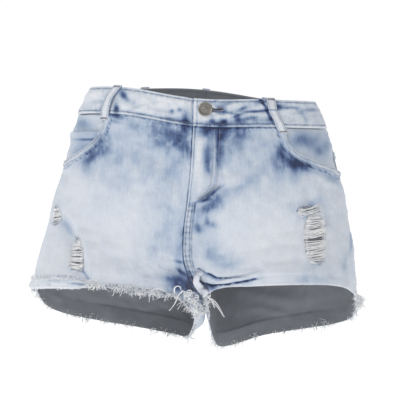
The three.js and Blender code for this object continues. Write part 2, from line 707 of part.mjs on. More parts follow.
function hemFrame(fringe, across) {
  const { point, normal } = DRAPES[`${fringe.face}_${fringe.side}`];
  const edge = cloth(fringe.side, fringe.face, across, 1, 0);
  const out = normal(across, 1);
  const downward = point(across, 1).sub(point(across, 0.985)).normalize();
  const along = point(Math.min(1, across + 0.01), 1).sub(point(Math.max(0, across - 0.01), 1)).normalize();
  return { edge, out, downward, along };
}

// One strand: a three-sided taper through a root, a middle and a tip.
function strand(root, middle, tip, radius) {
  const rings = [root, middle, tip].map((centre, i) => {
    const ahead = (i < 2 ? [root, middle, tip][i + 1].clone().sub(centre) : tip.clone().sub(middle)).normalize();
    const sideways = new THREE.Vector3(0.31, 0.83, 0.46).cross(ahead).normalize();
    const other = new THREE.Vector3().crossVectors(ahead, sideways);
    return [0, 1, 2].map((k) => {
      const angle = (2 * Math.PI * k) / 3;
      const size = radius * [1, 0.8, 0.45][i];
      return centre
        .clone()
        .addScaledVector(sideways, size * Math.cos(angle))
        .addScaledVector(other, size * Math.sin(angle));
    });
  });
  const points = rings.flat();
  const faces = [2, 1, 0, 6, 7, 8];
  for (const ring of [0, 3]) {
    for (const k of [0, 1, 2]) {
      const next = (k + 1) % 3;
      faces.push(ring + k, ring + next, ring + 3 + next, ring + k, ring + 3 + next, ring + 3 + k);
    }
  }
  const geometry = new THREE.BufferGeometry();
  geometry.setAttribute("position", new THREE.Float32BufferAttribute(points.flatMap((p) => p.toArray()), 3));
  geometry.setIndex(faces);
  return toSolid(geometry);
}

FRINGES.forEach((fringe, index) => {
  const random = dice(index * 977 + 31);
  const cut = fringe.face === "front" ? frontColumns[fringe.side] : backColumns;
  const between = cut.filter((c) => c > fringe.from + 0.004 && c < fringe.to - 0.004);
  const columns = [fringe.from, ...between, fringe.to];
  const frames = columns.map((across) => hemFrame(fringe, across));
  const order = runsRight(fringe.side, fringe.face) ? frames : [...frames].reverse();
  const grid = (lift) =>
    [STRIP_GAP, STRIP_GAP + STRIP].map((drop) =>
      order.map(({ edge, out, downward }) =>
        edge.clone().addScaledVector(out, lift).addScaledVector(downward, drop),
      ),
    );
  const pieces = [toSolid(wall(grid(STRIP_LIFT), grid(STRIP_LIFT - STRIP_THICK)))];
  for (let i = 0; i < fringe.count; i += 1) {
    const across = mix(columns[0], columns[columns.length - 1], (i + 0.2 + 0.6 * random()) / fringe.count);
    const k = columns.findIndex((c) => c > across) - 1;
    const share = (across - columns[k]) / (columns[k + 1] - columns[k]);
    const at = (key) => frames[k][key].clone().lerp(frames[k + 1][key], share);
    const out = at("out").normalize();
    const downward = at("downward").normalize();
    const along = at("along").normalize();
    const length = fringe.length * mix(0.45, 1, random());
    const stray = fringe.curl * (random() - 0.5) * length;
    const kick = fringe.curl * (random() - 0.3) * length * 0.6;
    const root = at("edge")
      .addScaledVector(out, STRIP_LIFT - STRIP_THICK / 2)
      .addScaledVector(downward, STRIP_GAP + STRIP * 0.5);
    const middle = root
      .clone()
      .addScaledVector(downward, length * 0.5)
      .addScaledVector(along, stray * 0.7)
      .addScaledVector(out, kick * 0.4);
    const tip = root
      .clone()
      .addScaledVector(downward, length * mix(0.7, 1, random()))
      .addScaledVector(along, stray)
      .addScaledVector(out, kick);
    pieces.push(strand(root, middle, tip, mix(0.4, 0.65, random())));
  }
  add(fringe.name, toGeometry(wasm.Manifold.union(pieces)), "fringe");
});

export default shorts;
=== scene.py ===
import math

import bpy
import numpy as np
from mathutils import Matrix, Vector


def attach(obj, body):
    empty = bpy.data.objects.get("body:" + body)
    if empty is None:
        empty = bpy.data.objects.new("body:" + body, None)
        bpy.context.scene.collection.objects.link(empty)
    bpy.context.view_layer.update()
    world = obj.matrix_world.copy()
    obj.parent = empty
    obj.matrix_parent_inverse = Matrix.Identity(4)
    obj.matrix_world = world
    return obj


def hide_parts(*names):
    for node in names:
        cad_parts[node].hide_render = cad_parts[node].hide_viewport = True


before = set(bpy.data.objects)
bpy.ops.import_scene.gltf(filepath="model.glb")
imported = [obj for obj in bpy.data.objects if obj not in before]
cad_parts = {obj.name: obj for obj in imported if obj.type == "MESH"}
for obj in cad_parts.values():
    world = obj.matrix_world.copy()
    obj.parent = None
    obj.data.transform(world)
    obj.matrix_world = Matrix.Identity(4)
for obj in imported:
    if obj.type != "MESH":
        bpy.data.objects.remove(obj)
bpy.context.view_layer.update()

# Camera, floor and light. The camera stands where the photograph was taken: a little to the
# wearer's left, just above the hems, and far enough off that the shorts look nearly flat. The
# floor lies well below the shorts, because a body holds them up.
PICTURE = 400  # the photograph's width and height, in picture points
AZIMUTH = math.radians(5)
ELEVATION = math.radians(1.5)
DISTANCE = 2.4
PICTURE_WIDTH = 0.544  # what the view spans at the target
TARGET = np.array([0, 0, -0.14])
TO_CAMERA = np.array(
    [math.sin(AZIMUTH) * math.cos(ELEVATION), -math.cos(AZIMUTH) * math.cos(ELEVATION), math.sin(ELEVATION)]
)
EYE = TARGET + DISTANCE * TO_CAMERA
SENSOR = 36

camera = bpy.data.objects.new("camera", bpy.data.cameras.new("camera"))
camera.location = EYE
camera.rotation_euler = Vector(TO_CAMERA).to_track_quat("Z", "Y").to_euler()
camera.data.sensor_width = SENSOR
camera.data.lens = SENSOR * DISTANCE / PICTURE_WIDTH
bpy.context.scene.collection.objects.link(camera)
bpy.context.scene.camera = camera


def colour(text):
    """An sRGB hex colour as linear red, green, blue and alpha."""
    parts = [int(text[i : i + 2], 16) / 255 for i in (1, 3, 5)]
    return [p / 12.92 if p <= 0.04045 else ((p + 0.055) / 1.055) ** 2.4 for p in parts] + [1.0]


def add_node(tree, kind, settings=(), inputs=()):
    """A node with its settings, and with each input a value or a link from another's output."""
    node = tree.nodes.new(kind)
    for name, value in dict(settings).items():
        setattr(node, name, value)
    for name, value in dict(inputs).items():
        if isinstance(value, bpy.types.NodeSocket):
            tree.links.new(value, node.inputs[name])
        else:
            node.inputs[name].default_value = value
    return node


def new_material(name):
    """An empty material with its output node, ready for a shader."""
    material = bpy.data.materials.new(name)
    material.use_nodes = True
    material.node_tree.nodes.clear()
    return material, material.node_tree


def finish_material(tree, inputs):
    """Closes a material with one Principled shader."""
    shader = add_node(tree, "ShaderNodeBsdfPrincipled", {}, inputs)
    add_node(tree, "ShaderNodeOutputMaterial", {}, {"Surface": shader.outputs["BSDF"]})


# A lit table of white acrylic, as a studio uses to photograph clothes on plain white.
FLOOR_Z = -0.5
acrylic, acrylic_tree = new_material("lit_acrylic")
acrylic_grain = add_node(acrylic_tree, "ShaderNodeTexNoise", {}, {"Scale": 900.0})
acrylic_bump = add_node(
    acrylic_tree,
    "ShaderNodeBump",
    {},
    {"Strength": 0.05, "Distance": 0.0002, "Height": acrylic_grain.outputs[0]},
)
finish_material(
    acrylic_tree,
    {
        "Base Color": colour("#F6F6F6"),
        "Roughness": 0.9,
        "Emission Color": colour("#FFFFFF"),
        "Emission Strength": 0.42,
        "Normal": acrylic_bump.outputs[0],
    },
)
bpy.ops.mesh.primitive_plane_add(size=160, location=(0, 0, FLOOR_Z))
floor = bpy.context.active_object
floor.name = "floor"
floor.data.materials.append(acrylic)

world = bpy.data.worlds.new("studio")
world.use_nodes = True
direction = add_node(world.node_tree, "ShaderNodeTexCoord").outputs["Generated"]
direction = add_node(world.node_tree, "ShaderNodeSeparateXYZ", {}, {"Vector": direction})
glow = add_node(
    world.node_tree,
    "ShaderNodeMapRange",
    {"interpolation_type": "SMOOTHSTEP"},
    {"Value": direction.outputs["Y"], "From Min": -0.3, "From Max": 0.6, "To Min": 0.42, "To Max": 1.02},
)
world.node_tree.links.new(glow.outputs[0], world.node_tree.nodes["Background"].inputs["Strength"])
world.node_tree.nodes["Background"].inputs["Color"].default_value = colour("#FFFFFF")
bpy.context.scene.world = world
bpy.context.scene.view_settings.view_transform = "Standard"

LIGHTS = [
    # name, place, size and power: a large soft key from the upper left and a weaker fill
    ("key", (-1.5, -2.2, 2.1), 0.9, 34),
    ("fill", (2.2, -2.2, 0.6), 1.6, 7),
]
for light_name, place, size, power in LIGHTS:
    lamp = bpy.data.objects.new(light_name, bpy.data.lights.new(light_name, "AREA"))
    lamp.location = place
    lamp.rotation_euler = Vector(np.array(place) - TARGET).to_track_quat("Z", "Y").to_euler()
    lamp.data.shape = "DISK"
    lamp.data.size = size
    lamp.data.energy = power
    bpy.context.scene.collection.objects.link(lamp)


# Front panels. Cotton denim of about 12 ounces, washed almost white with stones and bleach, so
# that indigo is left in patches and along the seams. Each is one cut of cloth from the waist
# seam to the raw hem, scooped out at the pocket mouth, and joined by a felled middle seam.
# The form is the solid's own, worked out from the same tables, in millimetres.
MM = 0.001
SIDES = {"left": 1, "right": -1}  # of the wearer
WALL = 1.3  # a little less than the solid's wall
HALF_GAP = 0.15
SIDE_SEAM_Y = 2
CLOTH_ACROSS = 235  # a panel's width and length along the cloth
CLOTH_DOWN = 270

RIM_HEIGHT = 3
TILT = 10
TILT_REACH = 150
FRONT_DIP = 7.5
FRONT_DIP_REACH = 110
BACK_RISE = 10
BAND_HEIGHT = 36.5
RIM_AT = -0.154


def table(columns, rows):
    """A short table as one array for each named column."""
    return dict(zip(columns.split(), np.array(rows, float).T))


SECTIONS = table(
    "at right left belly seat legs",
    [
        (RIM_AT, 147, 155, 92, 99, 0),
        (0.0, 166, 171, 101, 112, 0),
        (0.2, 177, 184, 107, 123, 0),
        (0.4, 193, 196, 107, 130, 0),
        (0.55, 203, 202, 106, 130, 0.05),
        (0.68, 209, 207, 105, 126, 0.25),
        (0.8, 218, 210, 105, 119, 0.6),
        (0.92, 225, 212, 106, 110, 1),
        (1.0, 229, 214, 108, 106, 1),
    ],
)
CROTCH_AT = 0.93
CROTCH_Z = -292
RISE = table(
    "at front_y front_z back_y back_z",
    [
        (RIM_AT, -92, -4.5, 99, 13),
        (0.0, -101, -41, 112, -23.5),
        (0.25, -107, -97, 124, -88),
        (0.5, -104, -156, 127, -155),
        (0.65, -94, -199, 116, -202),
        (0.78, -71, -241, 84, -249),
        (0.87, -39, -270, 44, -279),
        (CROTCH_AT, 2, CROTCH_Z, 2, CROTCH_Z),
    ],
)
INSEAM_SPREAD = {"right": 15, "left": 3}
SWAY = table(
    "at front back",
    [
        (-310, 8, 8),
        (-292, 7, 7),
        (-270, -2, 3),
        (-240, -9, 0.5),
        (-213, -14, 0),
        (-175, -12, 0),
        (-140, -7, 0),
        (-95, -2.5, 0),
        (-40, 0, 0),
    ],
)
SWAY_REACH = 130
HEMS = {
    "right": table(
        "at front back",
        [
            (0, -304, -304),
            (0.04, -286, -320),
            (0.09, -271, -330),
            (0.2, -262, -330),
            (0.35, -255, -325),
            (0.55, -248, -316),
            (0.75, -248, -303),
            (0.9, -253, -285),
            (1, -258, -258),
        ],
    ),
    "left": table(
        "at front back",
        [
            (0, -306, -306),
            (0.04, -285, -330),
            (0.09, -268, -343),
            (0.2, -255, -343),
            (0.35, -250, -334),
            (0.55, -247, -325),
            (0.75, -250, -314),
            (0.9, -262, -300),
            (1, -278, -278),
        ],
    ),
}
FLANK = 0.62
CORNER = 0.6
INNER_THIGH = 0.15
THIGH_ROUND = 4 / 3
LEVEL_OUT = 2.5

# Creases, across (x) and down (z) the panel. The largest are in the solids too, and the rest
# are the small drag lines that the seams, the crotch and the hems pull into the cloth.
FOLDS = {
    "front": table(
        "from_x from_z to_x to_z width depth",
        [
            (-184, -158, -160, -200, 10, -7),
            (-160, -200, -138, -262, 9, -8),
            (-166, -158, -140, -215, 10, 4),
            (41, -114, 14, -137, 5, -4.4),
            (38, -119, 14, -137, 1.8, -2.8),
            (37, -109, 9, -131, 5, 2.5),
            (34, -101, 6, -124, 8, 3),
            (112, -70, 44, -118, 5, 2.4),
            (106, -80, 46, -126, 4, -1.8),
            (124, -66, 50, -106, 9, -2.5),
            (-76, -52, -12, -122, 8, -2.5),
            (26, -228, 90, -224, 5, -3),
            (26, -243, 92, -237, 6, 3.5),
            (-58, -240, -6, -232, 7, -5),
            (-118, -212, -40, -216, 8, -2),
            (-30, -214, -10, -229, 3, -2.5),
            (-36, -226, -12, -236, 2.5, -2),
            (-96, -226, -48, -223, 4, -1.2),
            (-132, -190, -84, -196, 5, -1.2),
            (40, -208, 104, -200, 5, -1.3),
            (96, -218, 142, -214, 4, -1.8),
            (12, -152, 36, -143, 2.6, -2.4),
            (12, -170, 40, -160, 3, -1.8),
            (14, -186, 60, -196, 6, -2.0),
            (-64, -150, -10, -176, 7, -1.8),
            (-52, -196, -8, -206, 5, -1.8),
            (-150, -176, -96, -184, 5, -1.4),
            (60, -186, 130, -176, 6, -1.5),
            (-30, -200, -8, -212, 3, -2.0),
            (148, -120, 156, -176, 6, -2.8),
            (172, -118, 176, -170, 5, -2.6),
            (178, -186, 181, -240, 5, -3.0),
            (-178, -96, -170, -140, 6, -1.6),
            (60, -58, 76, -92, 5, -1.2),
            (-44, -62, -26, -100, 4, -1.4),
            (-100, -92, -70, -132, 7, -1.2),
            (118, -132, 96, -176, 8, -1.2),
            (-24, -176, -40, -204, 5, -1.5),
            (22, -182, 44, -206, 5, -1.4),
        ],
    ),
    "back": table(
        "from_x from_z to_x to_z width depth",
        [
            (20, -236, 92, -262, 9, -4),
            (34, -268, 128, -286, 8, -3),
            (150, -238, 146, -324, 12, -5),
            (-18, -230, -86, -250, 9, -4),
            (-40, -262, -120, -272, 8, -3),
            (-132, -226, -142, -318, 12, -6),
            (10, -214, 56, -236, 5, -1.8),
            (-12, -216, -50, -228, 4, -1.8),
            (60, -294, 118, -306, 6, -1.8),
            (-52, -286, -98, -296, 6, -1.8),
            (176, -120, 168, -190, 7, -1.8),
            (-178, -128, -172, -196, 7, -1.6),
            (24, -70, 62, -104, 7, -1.4),
            (-30, -74, -70, -112, 8, -1.2),
            (96, -84, 120, -132, 8, -1.2),
            (-110, -90, -132, -140, 7, -1.3),
            (12, -150, 44, -168, 6, -1.2),
            (-16, -160, -52, -172, 5, -1.3),
        ],
    ),
}


def smooth(t):
    return t * t * (3 - 2 * t)


def ramp(x, low, high):
    return smooth(np.clip((x - low) / (high - low), 0, 1))


def mix(a, b, t):
    return a + (b - a) * t


def hump(x, middle, width):
    """A smooth rise to 1 at the middle and back, as wide on each side as width."""
    return np.exp(-(((x - middle) / width) ** 2))


def read(rows, column, at):
    """A column of a table at places between its rows, on a smooth curve through them."""
    x, y = rows["at"], rows[column]
    slope = np.empty_like(y)
    slope[1:-1] = (y[2:] - y[:-2]) / (x[2:] - x[:-2])
    slope[0] = (y[1] - y[0]) / (x[1] - x[0])
    slope[-1] = (y[-1] - y[-2]) / (x[-1] - x[-2])
    i = np.clip(np.searchsorted(x, at, side="right") - 1, 0, len(x) - 2)
    span = x[i + 1] - x[i]
    t = np.clip((at - x[i]) / span, 0, 1)
    bend = span * t * (1 - t) * ((1 - t) * slope[i] - t * slope[i + 1])
    return mix(y[i], y[i + 1], smooth(t)) + bend


def tilt(x):
    return -TILT * np.sin(math.pi / 2 * np.clip(x / TILT_REACH, -1, 1))


def crest(x, reach):
    return np.cos(math.pi / 2 * np.clip(x / reach, -1, 1)) ** 2


def base_form(side, face, across, down):
    """Points of the plain form: across from the middle seam 0 to the side seam 1, and down from
    the waist seam 0 to the hem 1."""
    sign = SIDES[side]
    inseam = np.clip((down - CROTCH_AT) / (1 - CROTCH_AT), 0, 1)
    inner_x = HALF_GAP + INSEAM_SPREAD[side] * inseam
    inner_y = read(RISE, face + "_y", np.minimum(down, CROTCH_AT))
    hem_in = HEMS[side][face][0]
    inner_z = mix(read(RISE, face + "_z", np.minimum(down, CROTCH_AT)), hem_in, inseam)
    reach = read(SECTIONS, side, down)
    depth = -read(SECTIONS, "belly", down) if face == "front" else read(SECTIONS, "seat", down)
    legs = np.clip(read(SECTIONS, "legs", down), 0, 1)
    t = across
    s = 1 - t
    flank_x = inner_x + mix(FLANK, INNER_THIGH, legs) * (reach - inner_x)
    x = s**3 * inner_x + 3 * s * s * t * flank_x + (3 * s * t * t + t**3) * reach
    y = (
        s**3 * inner_y
        + 3 * s * s * t * mix(inner_y, depth * THIGH_ROUND, legs)
        + 3 * s * t * t * mix(CORNER, THIGH_ROUND, legs) * depth
        + t**3 * SIDE_SEAM_Y
    )
    x = sign * x
    if face == "front":
        rim = RIM_HEIGHT + tilt(x) - FRONT_DIP * crest(x, FRONT_DIP_REACH)
    else:
        rim = RIM_HEIGHT + tilt(x) + BACK_RISE * crest(x, TILT_REACH)
    waist = rim - BAND_HEIGHT
    hem = read(HEMS[side], face, t)
    level = 1 - s**LEVEL_OUT
    waist_in = read(RISE, face + "_z", np.zeros(1))[0]
    waist_out = RIM_HEIGHT - BAND_HEIGHT + tilt(sign * TILT_REACH)
    hem_out = HEMS[side][face][-1]
    z = (
        mix(inner_z, mix(waist_out, hem_out, down), level)
        + (1 - down) * (waist - mix(waist_in, waist_out, level))
        + down * (hem - mix(hem_in, hem_out, level))
    )
    z = np.where(down < 0, mix(waist, rim, down / RIM_AT), z)
    return np.stack([x, y, z], -1)


STEP_ACROSS = 0.004
STEP_DOWN = 0.011  # long enough to round off where the legs take their full shape
LOWEST = 1.06  # how far down the form is read, for a hem that hangs below the solid's


def normals_of(surface, side, face, across, down):
    """Outward unit normals of a surface at places on it."""
    a = surface(side, face, np.minimum(1, across + STEP_ACROSS), down)
    b = surface(side, face, np.maximum(0, across - STEP_ACROSS), down)
    c = surface(side, face, across, np.minimum(LOWEST, down + STEP_DOWN))
    d = surface(side, face, across, np.maximum(RIM_AT, down - STEP_DOWN))
    n = np.cross(a - b, c - d)
    n /= np.linalg.norm(n, axis=-1, keepdims=True)
    return n * (-SIDES[side] if face == "front" else SIDES[side])


def speckle(x, y, seed):
    """Smooth random values from -1 to 1, with about one bump to each unit of x and y."""
    i, j = np.floor(x), np.floor(y)
    u, v = smooth(x - i), smooth(y - j)

    def corner(a, b):
        h = np.sin(a * 127.1 + b * 311.7 + seed * 74.7) * 43758.5453
        return 2 * (h - np.floor(h)) - 1

    return mix(
        mix(corner(i, j), corner(i + 1, j), u), mix(corner(i, j + 1), corner(i + 1, j + 1), u), v
    )


def cloudy(x, y, seed, layers=3):
    """Several sizes of speckle added up."""
    total = 0
    for k in range(layers):
        total = total + speckle(x * 2**k, y * 2**k, seed + 11 * k) / 2**k
    return total / (2 - 2 ** (1 - layers))


def draped_form(side, face, across, down):
    """The plain form with its creases and a soft crumple, at any place on it."""
    across, down = np.broadcast_arrays(np.asarray(across, float), np.asarray(down, float))
    p = base_form(side, face, across, down)
    x, z = p[..., 0], p[..., 2]
    lift = np.zeros_like(x)
    folds = FOLDS[face]
    for from_x, from_z, to_x, to_z, width, depth in zip(*folds.values()):
        length = math.hypot(to_x - from_x, to_z - from_z)
        way_x, way_z = (to_x - from_x) / length, (to_z - from_z) / length
        along = (x - from_x) * way_x + (z - from_z) * way_z
        aside = (x - from_x) * way_z - (z - from_z) * way_x
        aside = aside + 0.25 * width * speckle(along / (3 * width), aside * 0, from_x)
        ends = ramp(along, -width, width) * (1 - ramp(along, length - width, length + width))
        lift += depth * ends * hump(aside, 0, width)
    s = SIDES[side] * across * CLOTH_ACROSS
    t = down * CLOTH_DOWN
    seed = 3 if face == "front" else 40
    crumple = 1.5 * speckle(s / 38, t / 30, seed) + 1.0 * speckle(s / 16, t / 12, seed + 1)
    crumple = crumple + 0.4 * speckle(s / 6.5, t / 6, seed + 2)
    # The cloth lies still where it is sewn to something.
    free = ramp(down, 0.0, 0.06) * ramp(across, 0.0, 0.05) * (1 - ramp(across, 0.95, 1.0))
    lift = (lift + crumple * free) * (down > 0)
    return p + normals_of(base_form, side, face, across, down) * lift[..., None]


def on_cloth(side, face, across, down, lift=0.0):
    """Places on a panel, raised by lift, kept in the panel's own quarter of the garment."""
    across, down = np.broadcast_arrays(np.asarray(across, float), np.asarray(down, float))
    normal = normals_of(draped_form, side, face, across, down)
    p = draped_form(side, face, across, down) + normal * np.broadcast_to(lift, across.shape)[..., None]
    sign = SIDES[side]
    p[..., 0] = sign * np.maximum(HALF_GAP, sign * p[..., 0])
    if face == "front":
        p[..., 1] = np.minimum(p[..., 1], SIDE_SEAM_Y - HALF_GAP)
    else:
        p[..., 1] = np.maximum(p[..., 1], SIDE_SEAM_Y + HALF_GAP)
    p[..., 0] += read(SWAY, face, np.clip(p[..., 2], -310, -40)) * crest(p[..., 0], SWAY_REACH)
    return p, normal


def even_across(side, face, count, down=0.55):
    """Places across a panel that lie evenly along the cloth."""
    fine = np.linspace(0, 1, 400)
    p = base_form(side, face, fine, np.full(400, down))
    length = np.concatenate([[0], np.cumsum(np.linalg.norm(np.diff(p, axis=0), axis=1))])
    return np.interp(np.linspace(0, length[-1], count), length, fine)


def across_at(side, face, distance, down):
    """The place across a panel that lies at a distance from the middle."""
    fine = np.linspace(0, 1, 600)
    x = np.abs(base_form(side, face, fine, np.full(600, down))[:, 0])
    return float(np.interp(distance, x, fine))


def down_at(side, face, across, drop):
    """The place down a panel that lies a drop below the waist seam."""
    fine = np.linspace(RIM_AT, 1, 900)
    z = base_form(side, face, np.full(900, across), fine)[:, 2]
    return float(np.interp(drop, np.interp(0, fine, z) - z, fine))


def nearest(path, x, z):
    """How far each place is from a line of points, seen square on."""
    flat_x, flat_z = np.ravel(x), np.ravel(z)
    best = np.full(flat_x.shape, np.inf)
    for (ax, az), (bx, bz) in zip(path[:-1], path[1:]):
        way = np.array([bx - ax, bz - az])
        t = np.clip(((flat_x - ax) * way[0] + (flat_z - az) * way[1]) / max(way @ way, 1e-9), 0, 1)
        best = np.minimum(best, np.hypot(flat_x - ax - t * way[0], flat_z - az - t * way[1]))
    return best.reshape(np.shape(x))


# The wash. Indigo that the bleach has left, as soft patches, and among them some patches of
# painted shade: shadows round the front belt loops and under the band's lower edge, the dark
# gaps in the crotch and under the rolled hem, a dark hole at the side and a side crease. Where
# each shows in the photograph, in picture points, its half width and half height, its turn in
# degrees, and how dark it is. A negative one is whiter than the rest.
INDIGO_AND_SHADE_PATCHES = table(
    "px py wide high turn dark",
    [
        (171, 140, 20, 14, 28, 0.40),
        (185, 142, 7, 18, 0, 0.38),
        (164, 131, 28, 5, 8, 0.22),
        (186, 128, 6, 4, 10, 0.34),
        (138, 160, 48, 34, 0, 0.16),
        (206, 130, 9, 6, 12, 0.60),
        (207, 126, 8, 3, 10, 0.30),
        (221, 128, 18, 3, 0, 0.34),
        (234, 132, 13, 7, -10, 0.34),
        (236, 144, 10, 12, 0, 0.08),
        (209, 158, 4.5, 17, 0, 0.60),
        (221, 147, 5.5, 23, 0, 0.62),
        (231, 150, 4, 18, 0, 0.14),
        (214.5, 152, 1.0, 20, 0, -0.16),
        (199, 155, 4, 30, 0, -0.24),
        (246, 138, 18, 12, 0, 0.16),
        (252, 126, 16, 4, -6, 0.18),
        (262, 160, 44, 34, 0, 0.14),
        (280, 150, 5.5, 9, -20, 0.34),
        (307, 164, 12, 4, 28, 0.18),
        (290, 161, 13, 6, 38, 0.48),
        (305, 168, 11, 4, 28, 0.42),
        (293, 167, 15, 9, 20, 0.30),
        (276, 158, 9, 14, 0, 0.20),
        (330, 178, 14, 3, 26, 0.25),
        (101, 150, 8, 14, 35, 0.40),
        (109, 153, 14, 14, 0, 0.15),
        (89, 160, 10, 4, -25, 0.40),
        (87, 169, 6, 9, 0, 0.14),
        (213, 193, 10, 1.2, -36, 0.62),
        (204, 200, 6, 1.3, -14, 0.5),
        (212, 199, 8, 9, -40, 0.46),
        (202, 208, 9, 10, -35, 0.44),
        (198, 231, 5, 4, 20, 0.50),
        (196, 222, 4, 8, 0, 0.30),
        (213, 225, 7, 3, 0, 0.34),
        (210, 250, 12, 10, 20, 0.30),
        (221, 256, 15, 8, 10, 0.18),
        (230, 264, 10, 4, 0, 0.16),
        (207, 229, 13, 9, 0, 0.14),
        (232, 192, 14, 6, -20, 0.16),
        (240, 185, 20, 5, -25, 0.14),
        (181, 252, 5.5, 32, 0, 0.30),
        (168, 214, 16, 24, 0, 0.18),
        (172, 174, 12, 12, 0, 0.14),
        (290, 181, 10, 8, 0, 0.12),
        (160, 244, 14, 16, 0, 0.12),
        (206, 170, 7, 14, 0, 0.14),
        (179, 262, 6, 1.5, 12, 0.45),
        (182, 272, 6, 1.6, 30, 0.60),
        (179, 285, 14, 8, 0, 0.48),
        # Painted shade at the right panel's inner edge in the crotch, in this row and the next two.
        (191, 275, 3, 9, -20, 0.50),
        (194, 289, 5, 4, 0, 0.40),
        (194, 284, 3.5, 8, -25, 0.50),
        # Painted shade: the dark gap under the rolled hem.
        (210, 288, 6, 3.5, 20, 0.55),
        (186, 279, 7, 6, 30, 0.28),
        (189, 286, 5, 9, -20, 0.36),
        (170, 279, 12, 3, 0, 0.25),
        (190, 297, 8, 5, 20, 0.30),
        (122, 291, 24, 4, 4, 0.38),
        (108, 289, 7, 3, 0, 0.18),
        (312, 279, 15, 7, 0, 0.26),
        (303, 211, 12, 9, 0, 0.22),
        (314, 204, 8, 6, 0, 0.22),
        (324, 210, 5, 22, 0, 0.06),
        (314, 264, 9, 5, 0, 0.16),
        # Painted shade standing for a dark hole at the side edge.
        (351, 242, 1.8, 10, 0, 0.42),
        (78, 284, 9, 1.2, 3, 0.42),
        (58, 281, 14, 1.2, -2, 0.22),
        (84, 272, 1.2, 9, -35, 0.45),
        (221, 203, 5, 14, 20, 0.20),
        (206, 222, 3, 5, 0, 0.30),
        (345, 268, 3, 12, 0, 0.22),
        (110, 236, 40, 34, 0, -0.08),
        (268, 244, 46, 34, 0, -0.10),
        (228, 178, 12, 12, 0, -0.12),
        (74, 190, 12, 26, 0, -0.08),
        (50, 262, 20, 24, 0, -0.08),
        # Painted shade in the side crease, in this row and the next.
        (66, 226, 5, 7, -20, 0.16),
        (70, 232, 3, 12, -30, 0.12),
        (186, 119, 5, 8, 0, 0.56),
        (230, 113, 26, 7, 0, 0.14),
        (248, 105, 10, 4, -15, 0.12),
        # Painted shadow cast by the band's lower edge on the panel, in this row and the next.
        (243, 121, 26, 3, -4, 0.34),
        (212, 122, 10, 2, 6, 0.36),
        (116, 122, 6, 2, 10, 0.20),
        (134, 124, 6, 4, 0, 0.26),
        (172, 111, 2.6, 2.6, 0, 0.50),
        (179, 110, 2.6, 2.6, 0, 0.50),
        (176, 103, 5, 2, 0, 0.16),
        (170, 120, 7, 2, 10, 0.30),
        (166, 125, 24, 1.4, 9, 0.16),
        (214, 101.5, 7, 2, -20, 0.26),
        (222, 109, 6, 2.4, 15, 0.50),
        (212, 119, 3.5, 2.5, 0, 0.55),
        (224, 119.5, 3.5, 3, 0, 0.60),
        (236, 117, 4.5, 4, 0, 0.52),
        (230, 104, 6, 1.5, -18, 0.26),
        (243, 108, 5, 1.6, -25, 0.40),
        (257, 111, 13, 1.4, -3, 0.60),
        (226, 112, 14, 1.2, 10, 0.40),
        (238, 115, 8, 1.1, -20, 0.35),
        (250, 117, 8, 2, -8, 0.35),
        # Painted shadow down the left side of the wearer's left front belt loop, in this row and the next
        # two.
        (264, 104, 1.3, 9, -38, 0.75),
        (262, 100, 6, 4, 0, 0.36),
        (268, 114, 1.4, 9, -25, 0.60),
        # Painted shadow beside the wearer's right front belt loop.
        (98, 112, 4, 5, 0, 0.26),
        (278, 107, 3, 4, -30, 0.50),
        (289, 108, 9, 1.6, -3, 0.40),
        (306, 107, 2, 7, -20, 0.14),
        (302, 112, 4, 3, 0, 0.20),
        (313, 109, 6, 2, 0, 0.32),
        (305, 118, 3, 5, 0, 0.28),
        (321, 115, 2, 2, 0, 0.50),
        (270, 121, 4, 3, 0, 0.40),
        # Painted shadow round the wearer's right front belt loop, in this row and the next two.
        (103, 107, 2.5, 8, 5, 0.62),
        (122, 95, 5, 4, 30, 0.70),
        (116, 109, 3, 6, -10, 0.75),
        (126, 101, 3, 2.5, 0, 0.30),
        (118, 117, 10, 2.5, 8, 0.45),
        (84, 96, 4, 3, 0, 0.16),
        (140, 114, 10, 2, 10, 0.20),
    ],
)


def picture_of(points):
    """Where points, in millimetres, show in the photograph, in picture points."""
    right = np.array([math.cos(AZIMUTH), math.sin(AZIMUTH), 0])
    up = np.cross(TO_CAMERA, right)
    away = np.asarray(points) * MM - EYE
    depth = -(away @ TO_CAMERA)
    scale = DISTANCE / PICTURE_WIDTH * PICTURE / depth
    return PICTURE / 2 + scale * (away @ right), PICTURE / 2 - scale * (away @ up)


def indigo_and_shade_of(points, face, base=0.19):
    """How much indigo is left at each place, from 0, bleached, to 1, with the painted shade of
    some patches added in. The back has the same patches, turned round and worn a little
    differently, since it isn't seen."""
    if face == "back":
        points = points * np.array([-1, -1, 1])
    px, py = picture_of(points)
    stray_x, stray_y = 5 * speckle(px / 17, py / 17, 5), 5 * speckle(px / 17, py / 17, 6)
    wash = np.full(px.shape, base)
    for x, y, wide, high, turn, dark in zip(*INDIGO_AND_SHADE_PATCHES.values()):
        if face == "back" and min(wide, high) < 6:
            continue
        c, s = math.cos(math.radians(turn)), math.sin(math.radians(turn))
        dark = 0.75 * dark if face == "back" else dark
        stray = min(1, min(wide, high) / 9)
        away_x, away_y = px - x + stray * stray_x, py - y + stray * stray_y
        u = (away_x * c + away_y * s) / wide
        v = (-away_x * s + away_y * c) / high
        wash += dark * np.exp(-(u * u + v * v))
    seed = 20 if face == "front" else 60
    uneven = cloudy(px / 8, py / 9, seed, 4)
    streaks = cloudy(px / 2.6, py / 13, seed + 5, 2)
    blots = ramp(cloudy(px / 5 + 3, py / 6, seed + 7, 3), 0.1, 0.55)
    wash += (0.06 + 0.34 * np.clip(wash - 0.12, 0, 0.5)) * uneven
    wash += (0.012 + 0.12 * np.clip(wash - 0.16, 0, 0.5)) * streaks
    wash -= 0.3 * np.clip(wash - 0.2, 0, 0.5) * blots
    return np.clip(wash, 0, 1)


